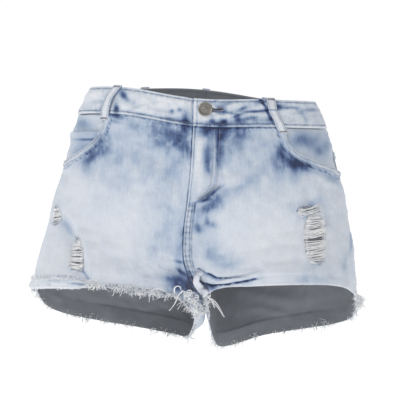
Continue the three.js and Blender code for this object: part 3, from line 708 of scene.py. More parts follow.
# The cloth itself. Right side: indigo warp over white weft, in a right-hand twill whose lines
# are 0.8 mm apart in the real cloth, drawn at twice that so that they show. Sharp twill, slubs
# in the warp and a short fuzz give it a dry, matt look. Inside, the white weft shows, so it is a
# flat grey blue, drawn darker than the cloth's own with painted shade.
TWILL = 0.0016
SLUB_WIDE = 0.0018
SLUB_LONG = 0.022


def denim(name, stops, wash_name="wash"):
    """Washed denim whose colour follows how much indigo is left in it, and the painted shade added to that.
    """
    material, tree = new_material(name)
    place = add_node(tree, "ShaderNodeUVMap", {"uv_map": "cloth"}).outputs["UV"]
    indigo = add_node(tree, "ShaderNodeAttribute", {"attribute_name": wash_name}).outputs["Fac"]
    stretched = add_node(
        tree, "ShaderNodeMapping", {}, {"Vector": place, "Scale": (1 / SLUB_WIDE, 1 / SLUB_LONG, 1)}
    )
    slub = add_node(
        tree, "ShaderNodeTexNoise", {}, {"Vector": stretched.outputs[0], "Scale": 1.0, "Detail": 3.0}
    )
    grain = add_node(tree, "ShaderNodeTexNoise", {}, {"Vector": place, "Scale": 520.0, "Detail": 2.0})
    twill = add_node(
        tree,
        "ShaderNodeTexWave",
        {"wave_type": "BANDS", "bands_direction": "DIAGONAL", "wave_profile": "SIN"},
        {"Vector": place, "Scale": 0.45 / TWILL, "Distortion": 1.5, "Detail": 2.0, "Detail Scale": 2.0},
    )
    streak = add_node(
        tree,
        "ShaderNodeMath",
        {"operation": "MULTIPLY_ADD"},
        {0: slub.outputs[0], 1: 0.16, 2: -0.08},
    )
    darker = add_node(tree, "ShaderNodeMath", {"operation": "ADD"}, {0: indigo, 1: streak.outputs[0]})
    speck = add_node(
        tree, "ShaderNodeMath", {"operation": "MULTIPLY_ADD"}, {0: grain.outputs[0], 1: 0.2, 2: -0.1}
    )
    left = add_node(tree, "ShaderNodeMath", {"operation": "ADD"}, {0: darker.outputs[0], 1: speck.outputs[0]})
    shades = add_node(tree, "ShaderNodeValToRGB", {}, {"Fac": left.outputs[0]})
    band = shades.color_ramp
    while len(band.elements) < len(stops):
        band.elements.new(0.5)
    for element, (at, shade) in zip(band.elements, stops):
        element.position = at
        element.color = colour(shade)
    relief = add_node(
        tree,
        "ShaderNodeMath",
        {"operation": "MULTIPLY_ADD"},
        {0: twill.outputs[0], 1: 0.5, 2: slub.outputs[0]},
    )
    bump = add_node(
        tree,
        "ShaderNodeBump",
        {},
        {"Strength": 0.5, "Distance": 0.0005, "Height": relief.outputs[0]},
    )
    finish_material(
        tree,
        {
            "Base Color": shades.outputs[0],
            "Roughness": 0.92,
            "Specular IOR Level": 0.2,
            "Sheen Weight": 0.12,
            "Sheen Roughness": 0.6,
            "Normal": bump.outputs[0],
        },
    )
    return material


RIGHT_SIDE = [
    (0.0, "#DFE2E8"),
    (0.2, "#CBD2DC"),
    (0.42, "#A6B5CA"),
    (0.68, "#677DA0"),
    (0.88, "#425179"),
    (1.0, "#303A57"),
]
# The inside is drawn darker grey than the cloth's own with painted shade.
SHADED_WRONG_SIDE = [(0.0, "#94979C"), (0.5, "#797D84"), (1.0, "#5A5F69")]
washed_denim = denim("washed_denim", RIGHT_SIDE)
shaded_denim_inside = denim("shaded_denim_inside", SHADED_WRONG_SIDE)


def mesh_object(name, points, faces, material_list, face_material=None, values=(), uv=None, flat=None):
    """A mesh from points in millimetres, dropping those that no face uses."""
    faces = np.asarray(faces)
    used, renamed = np.unique(faces, return_inverse=True)
    faces = renamed.reshape(faces.shape)
    mesh = bpy.data.meshes.new(name)
    mesh.from_pydata((np.asarray(points)[used] * MM).tolist(), [], faces.tolist())
    for material in material_list:
        mesh.materials.append(material)
    if face_material is not None:
        mesh.polygons.foreach_set("material_index", np.asarray(face_material, np.int32))
    mesh.polygons.foreach_set("use_smooth", np.ones(len(faces), bool) if flat is None else ~flat)
    for key, value in dict(values).items():
        mesh.attributes.new(key, "FLOAT", "POINT").data.foreach_set("value", value[used].astype(np.float32))
    if uv is not None:
        layer = mesh.uv_layers.new(name="cloth")
        layer.data.foreach_set("uv", uv[used][faces.ravel()].astype(np.float32).ravel())
    mesh.update()
    piece = bpy.data.objects.new(name, mesh)
    bpy.context.scene.collection.objects.link(piece)
    return piece


def shell(name, outer, inner, wash, uv, keep=None, materials=None):
    """A thin closed wall of cloth between two grids, with rows down and columns to the right as
    seen from outside, and with holes where keep is false."""
    rows, columns = outer.shape[:2]
    count = rows * columns
    index = np.arange(count).reshape(rows, columns)
    quads = np.stack([index[:-1, :-1], index[1:, :-1], index[1:, 1:], index[:-1, 1:]], -1)
    quads = quads.reshape(-1, 4) if keep is None else quads[keep]
    ends = np.stack([quads, np.roll(quads, -1, 1)], -1).reshape(-1, 2)
    keys = ends[:, 0] * count + ends[:, 1]
    border = ends[~np.isin(ends[:, 1] * count + ends[:, 0], keys)]
    rim = np.stack([border[:, 1], border[:, 0], border[:, 0] + count, border[:, 1] + count], -1)
    faces = np.concatenate([quads, quads[:, ::-1] + count, rim])
    inside = np.concatenate([np.zeros(len(quads)), np.ones(len(quads)), np.zeros(len(rim))])
    flat = np.concatenate([np.zeros(2 * len(quads), bool), np.ones(len(rim), bool)])
    return mesh_object(
        name,
        np.concatenate([outer.reshape(-1, 3), inner.reshape(-1, 3)]),
        faces,
        materials or [washed_denim, shaded_denim_inside],
        inside,
        {"wash": np.concatenate([wash.ravel(), wash.ravel() * 0.6 + 0.25])},
        np.concatenate([uv.reshape(-1, 2), uv.reshape(-1, 2)]),
        flat,
    )


def runs_right(side, face):
    """Whether across runs to the right, seen from outside."""
    return (side == "left") == (face == "front")


def cell_middles(grid):
    """The middle of each cell of a grid of points."""
    return (grid[:-1, :-1] + grid[1:, :-1] + grid[1:, 1:] + grid[:-1, 1:]) / 4


END_ROWS = 0.45  # how much closer together the rows are at a piece's ends
PANEL_POINTS = {}  # the outer points of each panel, for what is sewn or frayed on it


def cloth_piece(name, side, face, across, top, bottom, rows, lift, indigo_and_shade_change=None, keep=None, wall=WALL):
    """One panel of cloth over a grid of places, replacing the solid of the same name."""
    share = np.linspace(0, 1, rows)[:, None]
    share = share - END_ROWS * np.sin(2 * math.pi * share) / (2 * math.pi)
    a = np.broadcast_to(across, (rows, len(across)))
    d = mix(top[None, :], bottom[None, :], share)
    if not runs_right(side, face):
        a, d = a[:, ::-1], d[:, ::-1]
    raised = lift(a, d)
    outer, _ = on_cloth(side, face, a, d, raised)
    inner, _ = on_cloth(side, face, a, d, np.minimum(raised, 0) - wall)
    wash = indigo_and_shade_of(outer, face)
    if indigo_and_shade_change:
        wash = np.clip(wash + indigo_and_shade_change(a, d, outer), 0, 1)
    uv = np.stack([SIDES[side] * a * CLOTH_ACROSS, d * CLOTH_DOWN], -1) * MM
    holes = None
    if keep:
        holes = keep(cell_middles(outer))
    PANEL_POINTS[name] = outer.reshape(-1, 3)
    piece = shell(name, outer, inner, wash, uv, holes)
    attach(piece, "root")
    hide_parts(name)
    return piece


MOUTH_START = 117
MOUTHS = {
    "right": table(
        "at drop", [(117, 0), (122, 16), (129, 29), (142, 41), (160, 52), (177, 61), (192, 68)]
    ),
    "left": table(
        "at drop",
        [(117, 0), (122, 17), (129, 27), (140, 36), (154, 42), (170, 48), (182, 53), (192, 62)],
    ),
}


def mouth_down(side, across):
    """Where the pocket mouth cuts the front at each place across."""
    fine = np.linspace(0, 0.6, 240)
    result = np.zeros(len(across))
    for i, a in enumerate(across):
        p = base_form(side, "front", np.full(240, a), fine)
        if abs(p[0, 0]) <= MOUTH_START:
            continue
        gap = (p[0, 2] - p[:, 2]) - read(MOUTHS[side], "drop", np.abs(p[:, 0]))
        k = int(np.argmax(gap >= 0))
        result[i] = np.interp(0, gap[k - 1 : k + 1], fine[k - 1 : k + 1]) if k else 0
    return result


def mouth_line(side, count=40):
    """The pocket mouth as a line of points, seen square on."""
    start = across_at(side, "front", MOUTH_START, 0)
    across = mix(start, 1, np.linspace(0, 1, count) ** 1.5)
    p = base_form(side, "front", across, mouth_down(side, across))
    p[0, 2] += 2
    return p[:, [0, 2]]


# The rips. The warp is worn away inside each, and the white weft is left as loose threads.
RIPS = [
    # name, side, face, distance from the middle, drop, width, length, lean in degrees
    ("left_thigh", "left", "front", 158, 144, 30, 68, 4),
    ("left_thigh_nick", "left", "front", 150, 108, 32, 11, 0),
    ("right_thigh", "right", "front", 153, 184, 17, 42, -20),
    ("right_hip", "right", "front", 190, 136, 15, 22, -8),
    ("left_hip", "left", "back", 198, 156, 15, 26, 4),
]


def rip_frame(side, face, distance, drop):
    """Middle of a rip, with its sideways, upward and outward directions."""
    across, down = 0.7, 0.5
    for _ in range(6):
        across = across_at(side, face, distance, down)
        down = down_at(side, face, across, drop)
    centre, out = on_cloth(side, face, np.array([across]), np.array([down]))
    out = out[0]
    sideways = np.cross([0, 0, 1], out)
    sideways /= np.linalg.norm(sideways)
    return centre[0], sideways, np.cross(out, sideways), out


RIP_PLACES = {rip[0]: rip_frame(*rip[1:5]) for rip in RIPS}


def rip_depth(rip, points):
    """How deep points lie in a rip: 1 at its middle, 0 at its ragged edge and less outside."""
    name, _, _, _, _, width, length, lean = rip
    centre, sideways, up, out = RIP_PLACES[name]
    away = points - centre
    v = away @ up
    u = away @ sideways - v * math.tan(math.radians(lean))
    ragged = 1 + 0.16 * speckle(u / 3, v / 3, len(name)) + 0.10 * speckle(u / 1.4, v / 1.4, 9)
    near = np.abs(away @ out) < 25
    spread = np.abs(u / (width / 2)) ** 2.4 + np.abs(v / (length / 2)) ** 2.6
    return np.where(near, 1 - spread * ragged, -9)


def rip_wear(side, face, points):
    """The bleached, fuzzy cloth round each rip, with a rim of darker warp ends."""
    change = np.zeros(points.shape[:-1])
    for rip in RIPS:
        if rip[1] == side and rip[2] == face:
            depth = rip_depth(rip, points)
            rough = 0.6 + 0.7 * speckle(points[..., 0] / 3, points[..., 2] / 4, 31)
            change += 0.34 * hump(depth, -0.1, 0.12) * rough
    return change


def unripped(side, face):
    """A test for which parts of a panel are still there."""

    def keep(points):
        whole = np.ones(points.shape[:-1], bool)
        for rip in RIPS:
            if rip[1] == side and rip[2] == face:
                whole &= rip_depth(rip, points) < 0
        return whole

    return keep


# The fly, the felled middle seam, the pocket edges and the hems, as relief on the panels.
FLY_WIDTH = 31
FLY_BOTTOM = -140
FLY_CURVE = 34
FELL_WIDTH = 9.5
PUCKER = 7.5  # a sewn edge ropes at about this pitch


def fly_edge(z):
    share = np.clip((z - FLY_BOTTOM) / FLY_CURVE, 0, 1)
    return FLY_WIDTH * np.sqrt(1 - (1 - share) ** 2)


FLY_LINE = [(float(fly_edge(z)), z) for z in np.linspace(FLY_BOTTOM, -38, 60)]


def pucker(along, seed):
    """The ropy rise and fall of a sewn edge."""
    return 0.5 + 0.5 * np.sin(2 * math.pi * along / PUCKER + 2.2 * speckle(along / 19, along * 0, seed))


MOUTH_LINES = {side: mouth_line(side) for side in SIDES}


# The hem on the wearer's left has rolled up near the crotch: the roll's upper and lower edges
# where they show, in picture points.
ROLL_TOP = [(193, 270), (199, 270), (205, 274.5), (217, 278), (230, 278.5), (244, 276.5), (262, 270)]
ROLL_BOTTOM = [(193, 279), (201, 282), (212, 284), (228, 283), (244, 280.5), (259, 278), (270, 276)]


def roll_lines(seen_x):
    return np.interp(seen_x, *zip(*ROLL_TOP)), np.interp(seen_x, *zip(*ROLL_BOTTOM))


def seen(side, face, a, d):
    """Where the plain form shows in the photograph."""
    p = base_form(side, face, a, d)
    p[..., 0] += read(SWAY, face, np.clip(p[..., 2], -310, -40)) * crest(p[..., 0], SWAY_REACH)
    return picture_of(p)


def hem_down(side, a):
    """How far down the front's edge hangs: the turned-up part on the right is a little lower."""
    return 1 + 0.036 * ramp(a, 0.42, 0.6) if side == "right" else 1 + 0 * a


def front_relief(side):
    def lift(a, d):
        p = base_form(side, "front", a, d)
        x, z = p[..., 0], p[..., 2]
        mouth = nearest(MOUTH_LINES[side], x, z)
        edge = (1.5 + 0.9 * pucker(x + z, 3)) * (1 - ramp(mouth, 7.0, 9.0)) * ramp(mouth, -0.5, 1.2)
        edge -= 0.7 * hump(mouth, 2.4, 0.9) + 0.8 * hump(mouth, 7.0, 0.9)
        waist = -d * CLOTH_DOWN
        tuck = 1.2 * pucker(x, 5) * hump(waist, -4.5, 3.5)
        side_seam = (1 - a) * CLOTH_ACROSS
        rope = 0.7 * pucker(z, 8) * hump(side_seam, 6, 4)
        total = edge + tuck + rope
        if side == "right":
            lump = 0.012 * cloudy(x / 16, 0 * x, 13)
            cuff = ramp(d, 0.962 + lump, 0.978 + lump) * ramp(a, 0.48, 0.6)
            folded = cuff * (3.0 + 3.4 * cloudy(x / 9, z / 4, 12) - 2.2 * ramp(d, 1.02, 1.04))
            return total + folded - 1.4 * hump(d - 0.958, lump, 0.006) * ramp(a, 0.48, 0.6)
        fly = (1.1 + 0.3 * pucker(z, 11)) * (1 - ramp(x, fly_edge(z) - 1.2, fly_edge(z) + 1.2))
        rungs = np.sin(2 * math.pi * z / 6.4 + 4 * speckle(z / 11 + x / 30, 0 * z, 15))
        fly += 0.42 * rungs * (0.6 + 0.6 * speckle(z / 9, 0 * z, 16)) * hump(x, 8.5, 4.5)
        fly += 0.9 * hump(x, 1.2, 1.3) - 0.7 * hump(x, 3.6, 1.0)
        fly -= 0.6 * hump(x - fly_edge(z), -4, 1.2)
        fly *= ramp(z, FLY_BOTTOM - 1, FLY_BOTTOM + 1)
        fell = (1.3 + 1.3 * pucker(z, 14)) * (1 - ramp(x, FELL_WIDTH - 1.2, FELL_WIDTH + 1.2))
        fell -= 0.8 * hump(x, 2.6, 0.8) + 1.2 * hump(x, 7.4, 0.8)
        fell *= 1 - ramp(z, FLY_BOTTOM - 6, FLY_BOTTOM + 2)
        fell *= 1 - ramp(d, CROTCH_AT - 0.05, CROTCH_AT)
        seen_x, seen_y = seen(side, "front", a, d)
        top, bottom = roll_lines(seen_x)
        level = np.clip((seen_y - top) / (bottom - top), 0, 1)
        shown = ramp(seen_x, 197, 204) * (1 - ramp(seen_x, 246, 270))
        roll = 5.4 * np.sqrt(np.clip(1 - (2 * level - 1) ** 2, 0, 1))
        roll *= 0.85 + 0.25 * speckle(seen_x / 7, 0 * seen_x, 6)
        roll -= 2.4 * hump(seen_y - top, -1.1, 1.0) + 1.4 * hump(seen_y - bottom, 0.9, 0.9)
        return total + np.maximum(fly, fell) + roll * shown

    return lift


def front_indigo_and_shade(side):
    def change(a, d, points):
        p = base_form(side, "front", a, d)
        x, z = p[..., 0], p[..., 2]
        rough = 0.55 + 0.45 * speckle(x / 3.2, z / 4.5, 21)
        mouth = nearest(MOUTH_LINES[side], x, z)
        # Along the pocket mouth: darker beside its raised edge and in its two stitch grooves, partly indigo
        # kept in the seam and partly painted shade, and paler right at the edge.
        gathers = 0.5 + 0.9 * pucker(x + z, 3)
        dark = 0.42 * gathers * hump(mouth, 9.4, 1.7) - 0.12 * hump(mouth, 0.8, 1.0)
        dark += 0.24 * hump(mouth, 2.4, 0.8) + 0.24 * hump(mouth, 7.0, 0.8)
        # Painted shadow that the band casts on the panel just below the waist seam.
        waist = d * CLOTH_DOWN
        dark += (0.34 + 0.2 * pucker(x, 5)) * hump(waist, 1.5, 1.8)
        if side == "left":
            # Darker beside the fly's raised edge and along the felled seam's grooves and puckers: partly
            # indigo kept in the seams, partly painted shade.
            stitch = nearest(FLY_LINE, x, z)
            dark += 0.3 * hump(stitch, 2, 1.3) * (x > fly_edge(z))
            below = (z < FLY_BOTTOM) & (d < CROTCH_AT)
            dark += 0.5 * hump(x - FELL_WIDTH, 0.6, 1.0) * below
            dark += (0.34 - 0.16 * below) * hump(x, 2.8, 0.8)
            dark += (0.3 * hump(x, 7.4, 0.8) + 0.3 * (1 - pucker(z, 14)) ** 3 * (x < FELL_WIDTH)) * below
            dark -= 0.2 * hump(x, 0.8, 1.0)
            # Painted shadow under the rolled hem's lower edge, painted shade in the crease above it and a
            # little over the roll.
            seen_x, seen_y = seen(side, "front", a, d)
            top, bottom = roll_lines(seen_x)
            shown = ramp(seen_x, 194, 200) * (1 - ramp(seen_x, 252, 268))
            dark += 1.5 * shown * hump(seen_y - bottom, 0.8, 1.3)
            dark += 1.1 * shown * hump(seen_y - top, -0.9, 0.9) * (1 - ramp(seen_x, 218, 250))
            dark += 0.12 * shown * ramp(seen_y, top + 2, bottom)
        else:
            # Painted shadow that the fly's edge casts on the right panel at the middle seam.
            dark += 0.8 * hump(np.abs(x), 0.6, 0.9)
            # Painted shade in the crease above the turned-up edge; the turned-up part is paler.
            lump = 0.012 * cloudy(x / 16, 0 * x, 13)
            dark += 0.3 * hump(d - 0.957, lump, 0.005) * ramp(a, 0.48, 0.6)
            dark -= 0.12 * ramp(d, 0.96, 0.98) * ramp(a, 0.48, 0.6)
        hem = (hem_down(side, a) - d) * CLOTH_DOWN
        dark -= 0.35 * hump(hem, 0, 2.5)
        return dark * rough + rip_wear(side, "front", points)

    return change


for side in SIDES:
    start = across_at(side, "front", MOUTH_START, 0)
    even = even_across(side, "front", 400)
    columns = np.concatenate([np.linspace(0, 21, 24)[:-1], np.linspace(21, 399, 160)])
    across = np.interp(columns, np.arange(400), even)
    across = np.unique(np.concatenate([across, [start, start + 0.004, start + 0.01]]))
    front = cloth_piece(
        f"front_{side}",
        side,
        "front",
        across,
        mouth_down(side, across),
        hem_down(side, across),
        182,
        front_relief(side),
        front_indigo_and_shade(side),
        unripped(side, "front"),
    )


# Back panels and yokes. The same denim, joined by felled seams: the yoke shapes the seat, and
# the middle seam runs down to the crotch. They don't show in the photograph, so they are plain.
YOKE_MIDDLE = 0.25
YOKE_SIDE = 0.13
WAIST_GAP = 0.0014


def yoke_down(across):
    return mix(YOKE_MIDDLE, YOKE_SIDE, across)


def back_relief(side, above):
    """above is true for the yoke, which the panel's felled edge lies over."""

    def lift(a, d):
        p = base_form(side, "back", a, d)
        x, z = p[..., 0], p[..., 2]
        from_yoke = (d - yoke_down(a)) * CLOTH_DOWN
        tuck = 0.5 * pucker(x, 25) * hump(d * CLOTH_DOWN, 5, 4)
        rope = 0.7 * pucker(z, 28) * hump((1 - a) * CLOTH_ACROSS, 6, 4)
        total = tuck + rope
        if not above:
            total = total + (1.1 + 0.5 * pucker(x, 23)) * (1 - ramp(from_yoke, 8, 10.5))
        if side == "left":
            middle = (1.1 + 0.5 * pucker(z, 24)) * (1 - ramp(x, FELL_WIDTH - 1.2, FELL_WIDTH + 1.2))
            total = np.maximum(total, middle * (1 - ramp(d, CROTCH_AT - 0.05, CROTCH_AT)))
        return total

    return lift


def back_indigo_and_shade(side):
    def change(a, d, points):
        p = base_form(side, "back", a, d)
        x, z = p[..., 0], p[..., 2]
        rough = 0.55 + 0.45 * speckle(x / 3.2, z / 4.5, 71)
        from_yoke = (d - yoke_down(a)) * CLOTH_DOWN
        # Darker beside the yoke seam's raised felled edge and along the middle seam: partly indigo kept in
        # the seams, partly painted shade.
        dark = 0.28 * hump(from_yoke, 12, 2.4) + 0.2 * hump(from_yoke, -2, 2)
        dark += 0.24 * hump(np.abs(x), 12 if side == "left" else 2.5, 2.2)
        dark -= 0.35 * hump((1 - d) * CLOTH_DOWN, 0, 2.5)
        return dark * rough + rip_wear(side, "back", points)

    return change


for side in SIDES:
    across = even_across(side, "back", 156)
    back = cloth_piece(
        f"back_{side}",
        side,
        "back",
        across,
        yoke_down(across) + WAIST_GAP,
        np.ones(len(across)),
        130,
        back_relief(side, False),
        back_indigo_and_shade(side),
        unripped(side, "back"),
    )
    across = even_across(side, "back", 150, 0.1)
    yoke = cloth_piece(
        f"yoke_{side}",
        side,
        "back",
        across,
        np.full(len(across), WAIST_GAP),
        yoke_down(across),
        40,
        back_relief(side, True),
        back_indigo_and_shade(side),
    )


# Pocket facings and the coin pocket. Denim patches behind the pocket mouths, less bleached than
# the rest because the mouth has covered them. The coin pocket is a second patch on the right one.
UNDER_PANEL = -2.5
FACING_BEHIND = 0.06
FACING_THICK = 1.0


def facing_lift(side):
    places = np.linspace(0, 1, 160)
    mouths = mouth_down(side, places)

    def lift(a, d):
        mouth = np.interp(a, places, mouths)
        clear = 1 - ramp(d, mouth - 0.13, mouth - 0.04)
        return UNDER_PANEL + (-UNDER_PANEL - 0.2) * ramp(a, 0.82, 0.98) * clear

    return lift


FACING_PATCHES = table(
    "px py wide high dark",
    [
        (307, 140, 14, 9, 0.38),
        (318, 150, 9, 9, 0.36),
        (298, 140, 9, 8, 0.2),
        (327, 148, 5, 14, 0.26),
        (82, 124, 8, 6, 0.34),
        (85, 142, 14, 16, 0.24),
        (82, 154, 10, 7, 0.24),
        (90, 139.5, 16, 1.2, 0.4),
    ],
)


def facing_wash(a, d, points):
    px, py = picture_of(points)
    dark = np.zeros(px.shape)
    for x, y, wide, high, strength in zip(*FACING_PATCHES.values()):
        dark += strength * np.exp(-(((px - x) / wide) ** 2) - ((py - y) / high) ** 2)
    return dark * (0.9 + 0.2 * speckle(px / 6, py / 9, 90))


for side in SIDES:
    start = across_at(side, "front", MOUTH_START, 0)
    across = np.linspace(start - 0.04, 1, 80)
    facing = cloth_piece(
        f"pocket_facing_{side}",
        side,
        "front",
        across,
        np.full(len(across), WAIST_GAP),
        mouth_down(side, across) + FACING_BEHIND,
        64,
        facing_lift(side),
        facing_wash,
        wall=FACING_THICK,
    )

COIN_TOP_DROP = 24
COIN_INNER = 135
COIN_SEAM = 0.985
COIN_THICK = 0.9
coin_start = across_at("right", "front", COIN_INNER - 6, 0.2)  # its end is inside the mouth's edge
coin_across = np.linspace(coin_start, COIN_SEAM, 60)
coin_top = np.array([down_at("right", "front", a, COIN_TOP_DROP) for a in coin_across])


def coin_lift(a, d):
    top = np.interp(a, coin_across, coin_top)
    hem = 0.9 * (1 - ramp((d - top) * CLOTH_DOWN, 8.0, 10.0)) + 0.3 * pucker(a * CLOTH_ACROSS, 44)
    return facing_lift("right")(a, d) + 0.9 + COIN_THICK + hem


coin_pocket = cloth_piece(
    "coin_pocket",
    "right",
    "front",
    coin_across,
    coin_top,
    np.maximum(mouth_down("right", coin_across), coin_top) + 0.005,
    40,
    coin_lift,
    facing_wash,
    wall=COIN_THICK,
)


# Waistband. A strip of the same denim, folded over and sewn to the panels in two halves that meet
# at the middle of the back. The left half laps over the right one and has the buttonhole. Its
# stitched edges have shrunk, so the strip between them is puffed and wrinkled.
BAND_OUT = 1.3
BAND_IN = -1.5
BAND_ROWS = 36
BAND_STITCH = 3.4  # the stitch lines lie this far from the band's edges
UNDERLAP = 37
STEP_IN = -3.1
STEP_REACH = 14
BUTTON_X = 15.5
BUTTON_DROP = -22.5  # above the waist seam
HOLE_LENGTH = 23

even_rows = math.pi * np.linspace(0, 1, BAND_ROWS)
# How far down the band each row lies: the rows are closer together at the rim and the seam.
BAND_SHARES = 0.5 - 0.5 * np.cos(even_rows) * (1 - 0.25 * np.sin(even_rows) ** 2)

button_across = across_at("left", "front", BUTTON_X, RIM_AT / 2)
button_down = down_at("left", "front", button_across, BUTTON_DROP)
seat, seat_out = on_cloth("left", "front", np.array([button_across]), np.array([button_down]))
seat, seat_out = seat[0], seat_out[0]
seat_right = np.cross([0, 0, 1], seat_out)
seat_right /= np.linalg.norm(seat_right)
seat_up = np.cross(seat_out, seat_right)

# Wrinkles of the band where it shows: in picture points, with half width and depth in mm.
BAND_WRINKLES = table(
    "from_x from_y to_x to_y wide deep",
    [
        (209, 105, 222, 112, 1.6, 1.1),
        (210, 110, 224, 114, 1.4, -1.2),
        (205, 120, 228, 116, 2.2, 0.9),
        (222, 104, 236, 99, 2.0, -0.8),
        (232, 112, 250, 108, 2.2, -0.9),
        (236, 120, 256, 118, 2.0, -0.7),
        (248, 112, 268, 111, 1.6, -1.3),
        (256, 104, 267, 101, 2.0, -0.9),
        (278, 106, 298, 108, 2.0, -1.2),
        (296, 110, 318, 110, 1.8, -0.9),
        (300, 112, 306, 121, 2.0, -0.7),
        (150, 107, 172, 113, 2.4, -0.8),
        (160, 99, 184, 104, 2.4, 0.7),
        (168, 118, 190, 122, 2.0, -0.9),
        (124, 97, 134, 103, 2.2, -0.9),
        (118, 106, 150, 112, 2.2, 0.7),
        (128, 110, 146, 104, 2.0, -0.6),
        (84, 104, 100, 101, 2.4, -0.6),
        (86, 97, 102, 93, 2.4, 0.5),
    ],
)


def band_part(side, face, across, step=False):
    """The outer and inner faces of one stretch of the band, its wash and its place on the cloth."""
    t = BAND_SHARES[:, None]
    a = np.broadcast_to(across, (BAND_ROWS, len(across)))
    d = np.broadcast_to(mix(RIM_AT, -WAIST_GAP, t), a.shape)
    level, _ = on_cloth(side, face, a, d)
    px, py = picture_of(level)
    above, below = t * BAND_HEIGHT, (1 - t) * BAND_HEIGHT
    edge = np.minimum(above, below)
    along = level[..., 0] + (0 if face == "front" else 400)
    puff = 0.8 * ramp(edge, BAND_STITCH, 12) + 0.5 * (1 - ramp(edge, 0, BAND_STITCH + 0.6))
    puff = puff - 0.9 * hump(edge, BAND_STITCH, 0.8)
    tucks = pucker(along, 51) * hump(edge, 5.5, 4)
    crumple = cloudy(along / 13, level[..., 2] / 8, 52, 3) * ramp(edge, 3, 9)
    lift = puff + (1.2 * tucks + 1.9 * crumple) * (1 - 0.85 * ramp(a, 0.93, 1.0))
    if face == "front":
        for from_x, from_y, to_x, to_y, wide, deep in zip(*BAND_WRINKLES.values()):
            away = nearest([(from_x, from_y), (to_x, to_y)], px, py)
            lift = lift + 1.8 * deep * hump(away, 0, wide)
    shift = np.zeros(a.shape)
    if face == "front" and side == "left" and not step:
        lift = lift - 0.9 * hump(level[..., 0], 4.6, 1.0)
    if step:
        shift = np.where(level[..., 1] < 0, STEP_IN * ramp(level[..., 0], -STEP_REACH, -1), 0)
        lift = lift * (1 - ramp(level[..., 0], -4, -1))
    closed = np.sqrt(np.clip(1 - (1 - np.clip(np.minimum(above, below + 0.6) / 1.5, 0, 1)) ** 2, 0, 1))
    outer, _ = on_cloth(side, face, a, d, mix(-0.1, BAND_OUT + np.maximum(lift, -1.8), closed) + shift)
    inner, _ = on_cloth(side, face, a, d, mix(-0.2, BAND_IN + 0.2 * np.minimum(lift, 0), closed) + shift)
    wash = mix(indigo_and_shade_of(outer, face, 0.17), indigo_and_shade_of(outer, "back", 0.17), ramp(a, 0.78, 1.0))
    rough = 0.55 + 0.45 * speckle(along / 3.5, level[..., 2] / 2.5, 53)
    # Darker in the stitch grooves: partly indigo kept in them, partly painted shade.
    wash = wash + 0.5 * hump(edge, BAND_STITCH, 1.0) * rough
    wash = wash + 0.10 * (tucks - 0.5) * (edge > 2) - 0.14 * (1 - ramp(edge, 0.6, 2.2))
    # Painted shade: darker where the band sinks and lighter where it rises.
    wash = wash - 0.10 * np.clip(lift - 0.8, -2, 2)
    # Painted shadow on the right half beside the end of the left half that laps over it, and on the left half
    # painted shade in the groove along its end, whose edge is paler.
    if face == "front":
        beyond = level[..., 0]
        end = 0.5 * hump(beyond, -1.0, 1.1) if step else 0.34 * hump(beyond, 4.6, 0.9)
        wash = wash + end * rough - 0.12 * (0 < beyond) * (beyond < 3.6) * (not step)
    uv = np.stack([along, level[..., 2]], -1) * MM
    return outer, inner, np.clip(wash, 0, 1), uv


def buttonhole(corners):
    """Which cells are clear of the buttonhole's slot."""
    points = cell_middles(corners)
    u, v = (points - seat) @ seat_right, (points - seat) @ seat_up
    near = (points[..., 1] < 0) & (u > 0) & (u < HOLE_LENGTH)
    return ~((near & (np.abs(v) < 1.0)) | ((points[..., 1] < 0) & (np.hypot(u, v) < 3.0)))


front_across = {side: even_across(side, "front", 190, RIM_AT / 2) for side in SIDES}
back_across = {side: even_across(side, "back", 150, RIM_AT / 2)[-2::-1] for side in SIDES}
lap_across = np.linspace(across_at("left", "front", UNDERLAP, RIM_AT / 2), 0, 24)[:-1]
BAND_PARTS = {
    "left": [("left", "front", front_across["left"]), ("left", "back", back_across["left"])],
    "right": [
        ("left", "front", lap_across),
        ("right", "front", front_across["right"]),
        ("right", "back", back_across["right"]),
    ],
}
for side in SIDES:
    parts = [band_part(*part, step=side == "right") for part in BAND_PARTS[side]]
    outer, inner, wash, uv = (np.concatenate(kind, axis=1) for kind in zip(*parts))
    if side == "right":
        outer, inner, wash, uv = outer[:, ::-1], inner[:, ::-1], wash[:, ::-1], uv[:, ::-1]
    band = shell(
        f"waistband_{side}", outer, inner, wash, uv, buttonhole(outer) if side == "left" else None
    )
    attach(band, "root")
    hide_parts(f"waistband_{side}")


# Belt loops. Narrow folded strips of denim with two rows of stitching, tacked to the band's rim
# and just below the waist seam, and standing off the band between the tacks.
LOOP_HALF_WIDTH = 5.4
LOOP_THICK = 1.8
LOOP_STAND = 2.6
LOOPS = [
    # name, side, face, and distance from the middle at the rim, the middle and the end
    ("belt_loop_front_left", "left", "front", 98, 101, 116),
    ("belt_loop_front_right", "right", "front", 101, 112, 120),
    ("belt_loop_back_left", "left", "back", 84, 88, 93),
    ("belt_loop_back_right", "right", "back", 84, 88, 93),
    ("belt_loop_back_middle", "left", "back", 0, 0, 0),
]
LOOP_TOP = RIM_AT - 0.004
LOOP_BOTTOM = 0.04
LOOP_ROWS = 44
LOOP_COLUMNS = 13


